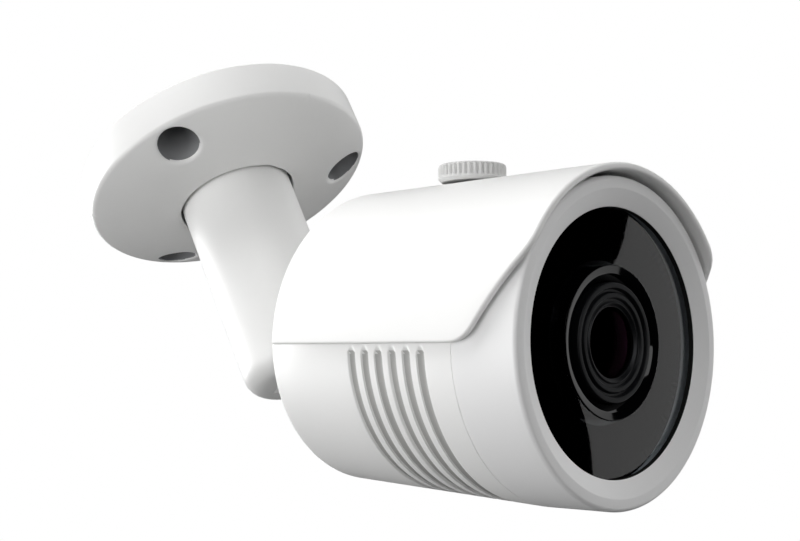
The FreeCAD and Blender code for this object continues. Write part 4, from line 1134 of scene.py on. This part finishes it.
@dataclass
class WindowAndLens:
    """Ring-shaped window with its ink, the polished bezel in its hole, and the lens inside."""

    hole: float = 15.5
    fit: float = 0.1
    clear_rim: float = 1.0        # clear glass between the hole and the ink
    ink_edge: float = 0.2
    ink_thick: float = 0.12
    bevel_start: float = 1.2      # depth behind the window's face where the bezel's bevel starts
    bevel_end: float = 0.1        # and where it ends
    bevel_out: float = 13.8
    hood_inner: float = 12.3
    hood_outer: float = 13.5
    head: float = 12.0
    head_long: float = 12.5
    glass: float = 7.1
    glass_fit: float = 0.05
    glass_bulge: float = 1.2
    cell_back: float = 0.4
    cell_bore: float = 5.4
    barrel: float = 6.9
    thread: float = 5.9
    thread_long: float = 10.5
    rear_hole: float = 3.4
    mouth_rings: tuple[tuple[float, float], ...] = (
        (0.0, 10.9), (0.75, 10.6), (0.75, 10.1), (0.15, 9.8), (0.15, 9.0), (0.6, 8.7),
        (0.6, 8.2), (0.3, 7.9), (0.8, 7.3))
    baffles: tuple[tuple[float, float, float], ...] = (
        (1.6, 6.4, 5.4), (3.4, 5.2, 3.6), (6.0, 3.4, 1.8))

    def build(self) -> None:
        """Build the window, its ink, the bezel, the light shield and the lens."""
        pane = span_of("front_window", CAMERA)
        glass = rounded([(pane.start, self.hole), (pane.start, pane.out, 0.3),
                         (pane.end, pane.out, 0.3), (pane.end, self.hole)], closed=True)
        turned_piece("window_pane", "front_window", glass)
        ink_back = pane.start - self.ink_thick
        inner, outer = self.hole + self.clear_rim, pane.out - self.ink_edge
        ink = np.array([(pane.start, inner), (pane.start, outer), (ink_back, outer),
                        (ink_back, inner)])
        border = Surface().turn(CAMERA, ink, closed=True).piece("window_ink", "camera")
        Dress.WINDOW_INK.on(border)
        self.bezel(pane)
        size = span_of("lens_light_shield", CAMERA)
        foam = rounded([(size.start, self.hood_inner), (size.start, self.hood_outer),
                        (size.end, self.hood_outer, 0.2), (size.end, self.hood_inner, 0.3)],
                       closed=True)
        turned_piece("light_shield_foam", "lens_light_shield", foam)
        self.lens()

    def bezel(self, pane: Span) -> None:
        """Funnel of two polished bevels between the lens and the window.

        Args:
            pane: where the window starts and ends along the axis.
        """
        size = span_of("lens_bezel", CAMERA)
        out = self.hole - self.fit
        outline = rounded([(size.start, self.hood_inner),
                           (pane.end - self.bevel_start, self.hood_inner, 0.1),
                           (pane.end - self.bevel_end, self.bevel_out, 0.6), (size.end, out, 0.12),
                           (pane.start, out), (pane.start, size.out), (size.start, size.out)],
                          closed=True)
        turned_piece("lens_bezel_ring", "lens_bezel", outline)

    def lens(self) -> None:
        """Lens barrel with turned rings round its mouth, the bulging front glass and the baffles.

        The bulge falls by its height * (r / radius)^2 from the middle to the glass's edge.
        """
        size = span_of("lens_barrel", CAMERA)
        front = span_of("front_lens", CAMERA)
        lip, head_end = size.end, size.end - self.head_long
        step_back, rear = size.start + self.thread_long, size.start + 2
        cell, mouth = front.start - self.cell_back, self.glass + self.glass_fit
        rings = [(lip - deep, out, 0.15) for deep, out in self.mouth_rings]
        outline = rounded([
            (size.start, self.rear_hole), (size.start, self.thread), (step_back, self.thread),
            (step_back, self.barrel), (head_end, self.barrel), (head_end, self.head, 0.3),
            (lip, self.head, 0.3), *rings, (rings[-1][0], mouth), (cell, mouth),
            (cell, self.cell_bore), (rear, 3.9), (rear, self.rear_hole)], closed=True)
        turned_piece("lens_barrel_body", "lens_barrel", outline, sharp=50)
        share = np.linspace(0, 1, 24)
        bulge = np.stack([front.end - self.glass_bulge * share ** 2, self.glass * share], axis=1)
        rest = np.array([(front.start, self.glass), (front.start, 0.0)])
        glass = Surface().turn(CAMERA, np.concatenate([bulge, rest]))
        finished(glass.piece("front_lens_glass", "camera"), "front_lens")
        inner = Surface()
        for deep, outer, opening in self.baffles:
            place = front.start - deep
            ring = np.array([(place, opening), (place + 0.5, outer), (place - 0.3, outer),
                             (place - 0.3, opening)])
            inner.turn(CAMERA, ring, closed=True)
        stops = inner.piece("lens_baffles", "camera")
        Dress.ANODISED.on(stops)


# ---- scene -------------------------------------------------------------------------------------

@dataclass
class Studio:
    """Pale floor, soft lights, the card for mirror reflections and the camera."""

    floor_drop: float = 1.1       # metres, like the floor's size and the lights' measures
    focal_mm: float = 56.5
    station: tuple[float, float, float] = (248.54, -204.12, -1.17)
    forward: tuple[float, float, float] = (-0.71464, 0.69668, 0.06275)
    upward: tuple[float, float, float] = (0.04798, -0.04067, 0.99802)
    light_away: float = 0.9
    light_size: float = 0.6
    card_from: float = 49.0
    card_to: float = 100.0
    card_lean: float = 0.44
    card_away: float = 1500.0
    card_glow: float = 0.7
    card_rise: tuple[float, float] = (-25.0, 50.0)
    floor_size: float = 6.0
    floor_glow: float = 0.85
    ambient: float = 0.1
    lights: tuple[tuple[str, tuple[float, float, float], float], ...] = (
        ("key", (-0.81, -0.24, 0.53), 6.9), ("left_front", (-0.20, -0.98, -0.06), 4.7),
        ("top_left", (0.16, -0.41, 0.90), 5.3), ("top_right", (0.78, 0.34, 0.52), 2.4),
        ("right_back", (0.20, 0.98, -0.09), 2.6), ("low_back", (-0.79, 0.61, -0.08), 1.3),
        ("front", (0.92, -0.35, -0.16), 1.95))

    def build(self) -> None:
        """Make the floor, the world, the camera, the lights and the card for reflections."""
        self.floor()
        self.world()
        self.camera()
        for name, direction, power in self.lights:
            self.light(name, direction, power)
        self.card("reflection_card")

    def floor(self) -> None:
        """A large pale matt floor well below the object; its own glow lights nothing."""
        level, size = CAD_BOX[0].z - self.floor_drop, self.floor_size
        corners = [(-size, -size, level), (size, -size, level), (size, size, level),
                   (-size, size, level)]
        mesh = bpy.data.meshes.new("floor")
        mesh.from_pydata(corners, [], [(0, 1, 2, 3)])
        floor = linked("floor", mesh)
        material = bpy.data.materials.new("pale_floor")
        material.use_nodes = True
        pale = linear("#E0E0E0")
        for key, value in (("Base Color", pale), ("Roughness", 0.9), ("Emission Color", pale),
                           ("Emission Strength", self.floor_glow)):
            material.node_tree.nodes["Principled BSDF"].inputs[key].default_value = value
        mesh.materials.append(material)
        floor.visible_diffuse = floor.visible_glossy = False

    def world(self) -> None:
        """White where it is seen directly, dimmer as a light and absent from mirrors."""
        world = bpy.data.worlds.new("studio")
        bpy.context.scene.world = world
        tree = cleared(world)
        path = add_node(tree, "LightPath")
        lit, seen = [add_node(tree, "Background", {"Color": (1, 1, 1, 1), "Strength": strength})
                     for strength in (self.ambient, 1.0)]
        out = mixed(tree, path.outputs["Is Camera Ray"], lit.outputs["Background"],
                    seen.outputs["Background"])
        add_node(tree, "OutputWorld", Surface=out)
        world.cycles_visibility.glossy = False
        bpy.context.scene.view_settings.view_transform = "Standard"

    def light(self, name: str, direction: tuple[float, float, float], power: float) -> None:
        """A square soft light that looks at the object from a direction in the row frame.

        Mirrors see only the lights on the side of negative y.

        Args:
            name: the light's name.
            direction: from the object's middle to the light.
            power: the light's power in watts.
        """
        middle = np.array([*(CAD_BOX[0] + CAD_BOX[1]) / 2])
        ray = np.array(direction) / np.linalg.norm(direction)
        data = bpy.data.lights.new(name, "AREA")
        data.energy, data.size = power, self.light_size
        lamp = linked(name, data)
        lamp.location = middle + ray * self.light_away
        lamp.rotation_mode = "QUATERNION"
        lamp.rotation_quaternion = Vector(ray).to_track_quat("Z", "Y")
        lamp.visible_camera = False
        lamp.visible_glossy = direction[1] < 0

    def card(self, name: str) -> None:
        """A glowing wall far beside the object that only mirror reflections see.

        With u from 0 to 1 across and e the elevation, a point of the wall is (R*cos t, R*sin t,
        R*tan e) in the CAMERA frame for t = first + lean*e + (last - first)*u, where the lean only
        counts above the horizon.
        """
        rows, columns = 61, 30
        across = np.linspace(0, 1, columns)[None, :]
        rise = np.radians(np.linspace(*self.card_rise, rows))[:, None]
        first, last = math.radians(self.card_from), math.radians(self.card_to)
        turn = first + self.card_lean * np.clip(rise, 0, None) + (last - first) * across
        reach = self.card_away
        points = CAMERA.place(reach * np.cos(turn), reach * np.sin(turn),
                              np.broadcast_to(reach * np.tan(rise), turn.shape))
        made = Surface().add(points, grid_faces(rows, columns, False, False)).piece(name, "mount")
        material = bpy.data.materials.new("glowing_card")
        tree = cleared(material)
        glow = add_node(tree, "Emission", {"Strength": self.card_glow})
        add_node(tree, "OutputMaterial", Surface=glow.outputs["Emission"])
        made.data.materials.append(material)
        for ray in ("camera", "diffuse", "shadow", "transmission", "volume_scatter"):
            setattr(made, "visible_" + ray, False)

    def camera(self) -> None:
        """The camera's place and directions, given in the CAMERA working frame."""
        basis = CAMERA.matrix()
        place = CAMERA.place(*[np.array([v]) for v in self.station])[0]
        forward = np.array(self.forward) @ basis
        upward = np.array(self.upward) @ basis
        right = np.cross(forward, upward)
        right /= np.linalg.norm(right)
        upward = np.cross(right, forward)
        data = bpy.data.cameras.new("camera")
        data.lens = self.focal_mm
        data.clip_start, data.clip_end = 0.01, 50.0
        camera = linked("camera", data)
        columns = np.stack([right, upward, -forward, place], axis=1)
        camera.matrix_world = Matrix([*columns.tolist(), (0, 0, 0, 1)])
        bpy.context.scene.camera = camera


def dress_frame() -> None:
    """Give every CAD node the finish of its material slot."""
    for name, node in frame["nodes"].items():
        SLOT_DRESS[NODE_SLOT[name]].on(node)


def main() -> None:
    """Build the sub-assemblies in order, then the studio."""
    logging.basicConfig(level=logging.INFO, format="%(name)s: %(message)s")
    dress_frame()
    assemblies = (MountingPlate(), Arm(), Knuckle(), Housing(), FrontRing(),
                  RearEnd(), Sunshield(), ThumbScrew(), WindowAndLens(), Studio())
    for assembly in assemblies:
        assembly.build()
        LOG.info("%s done", type(assembly).__name__)


if __name__ == "__main__":
    main()
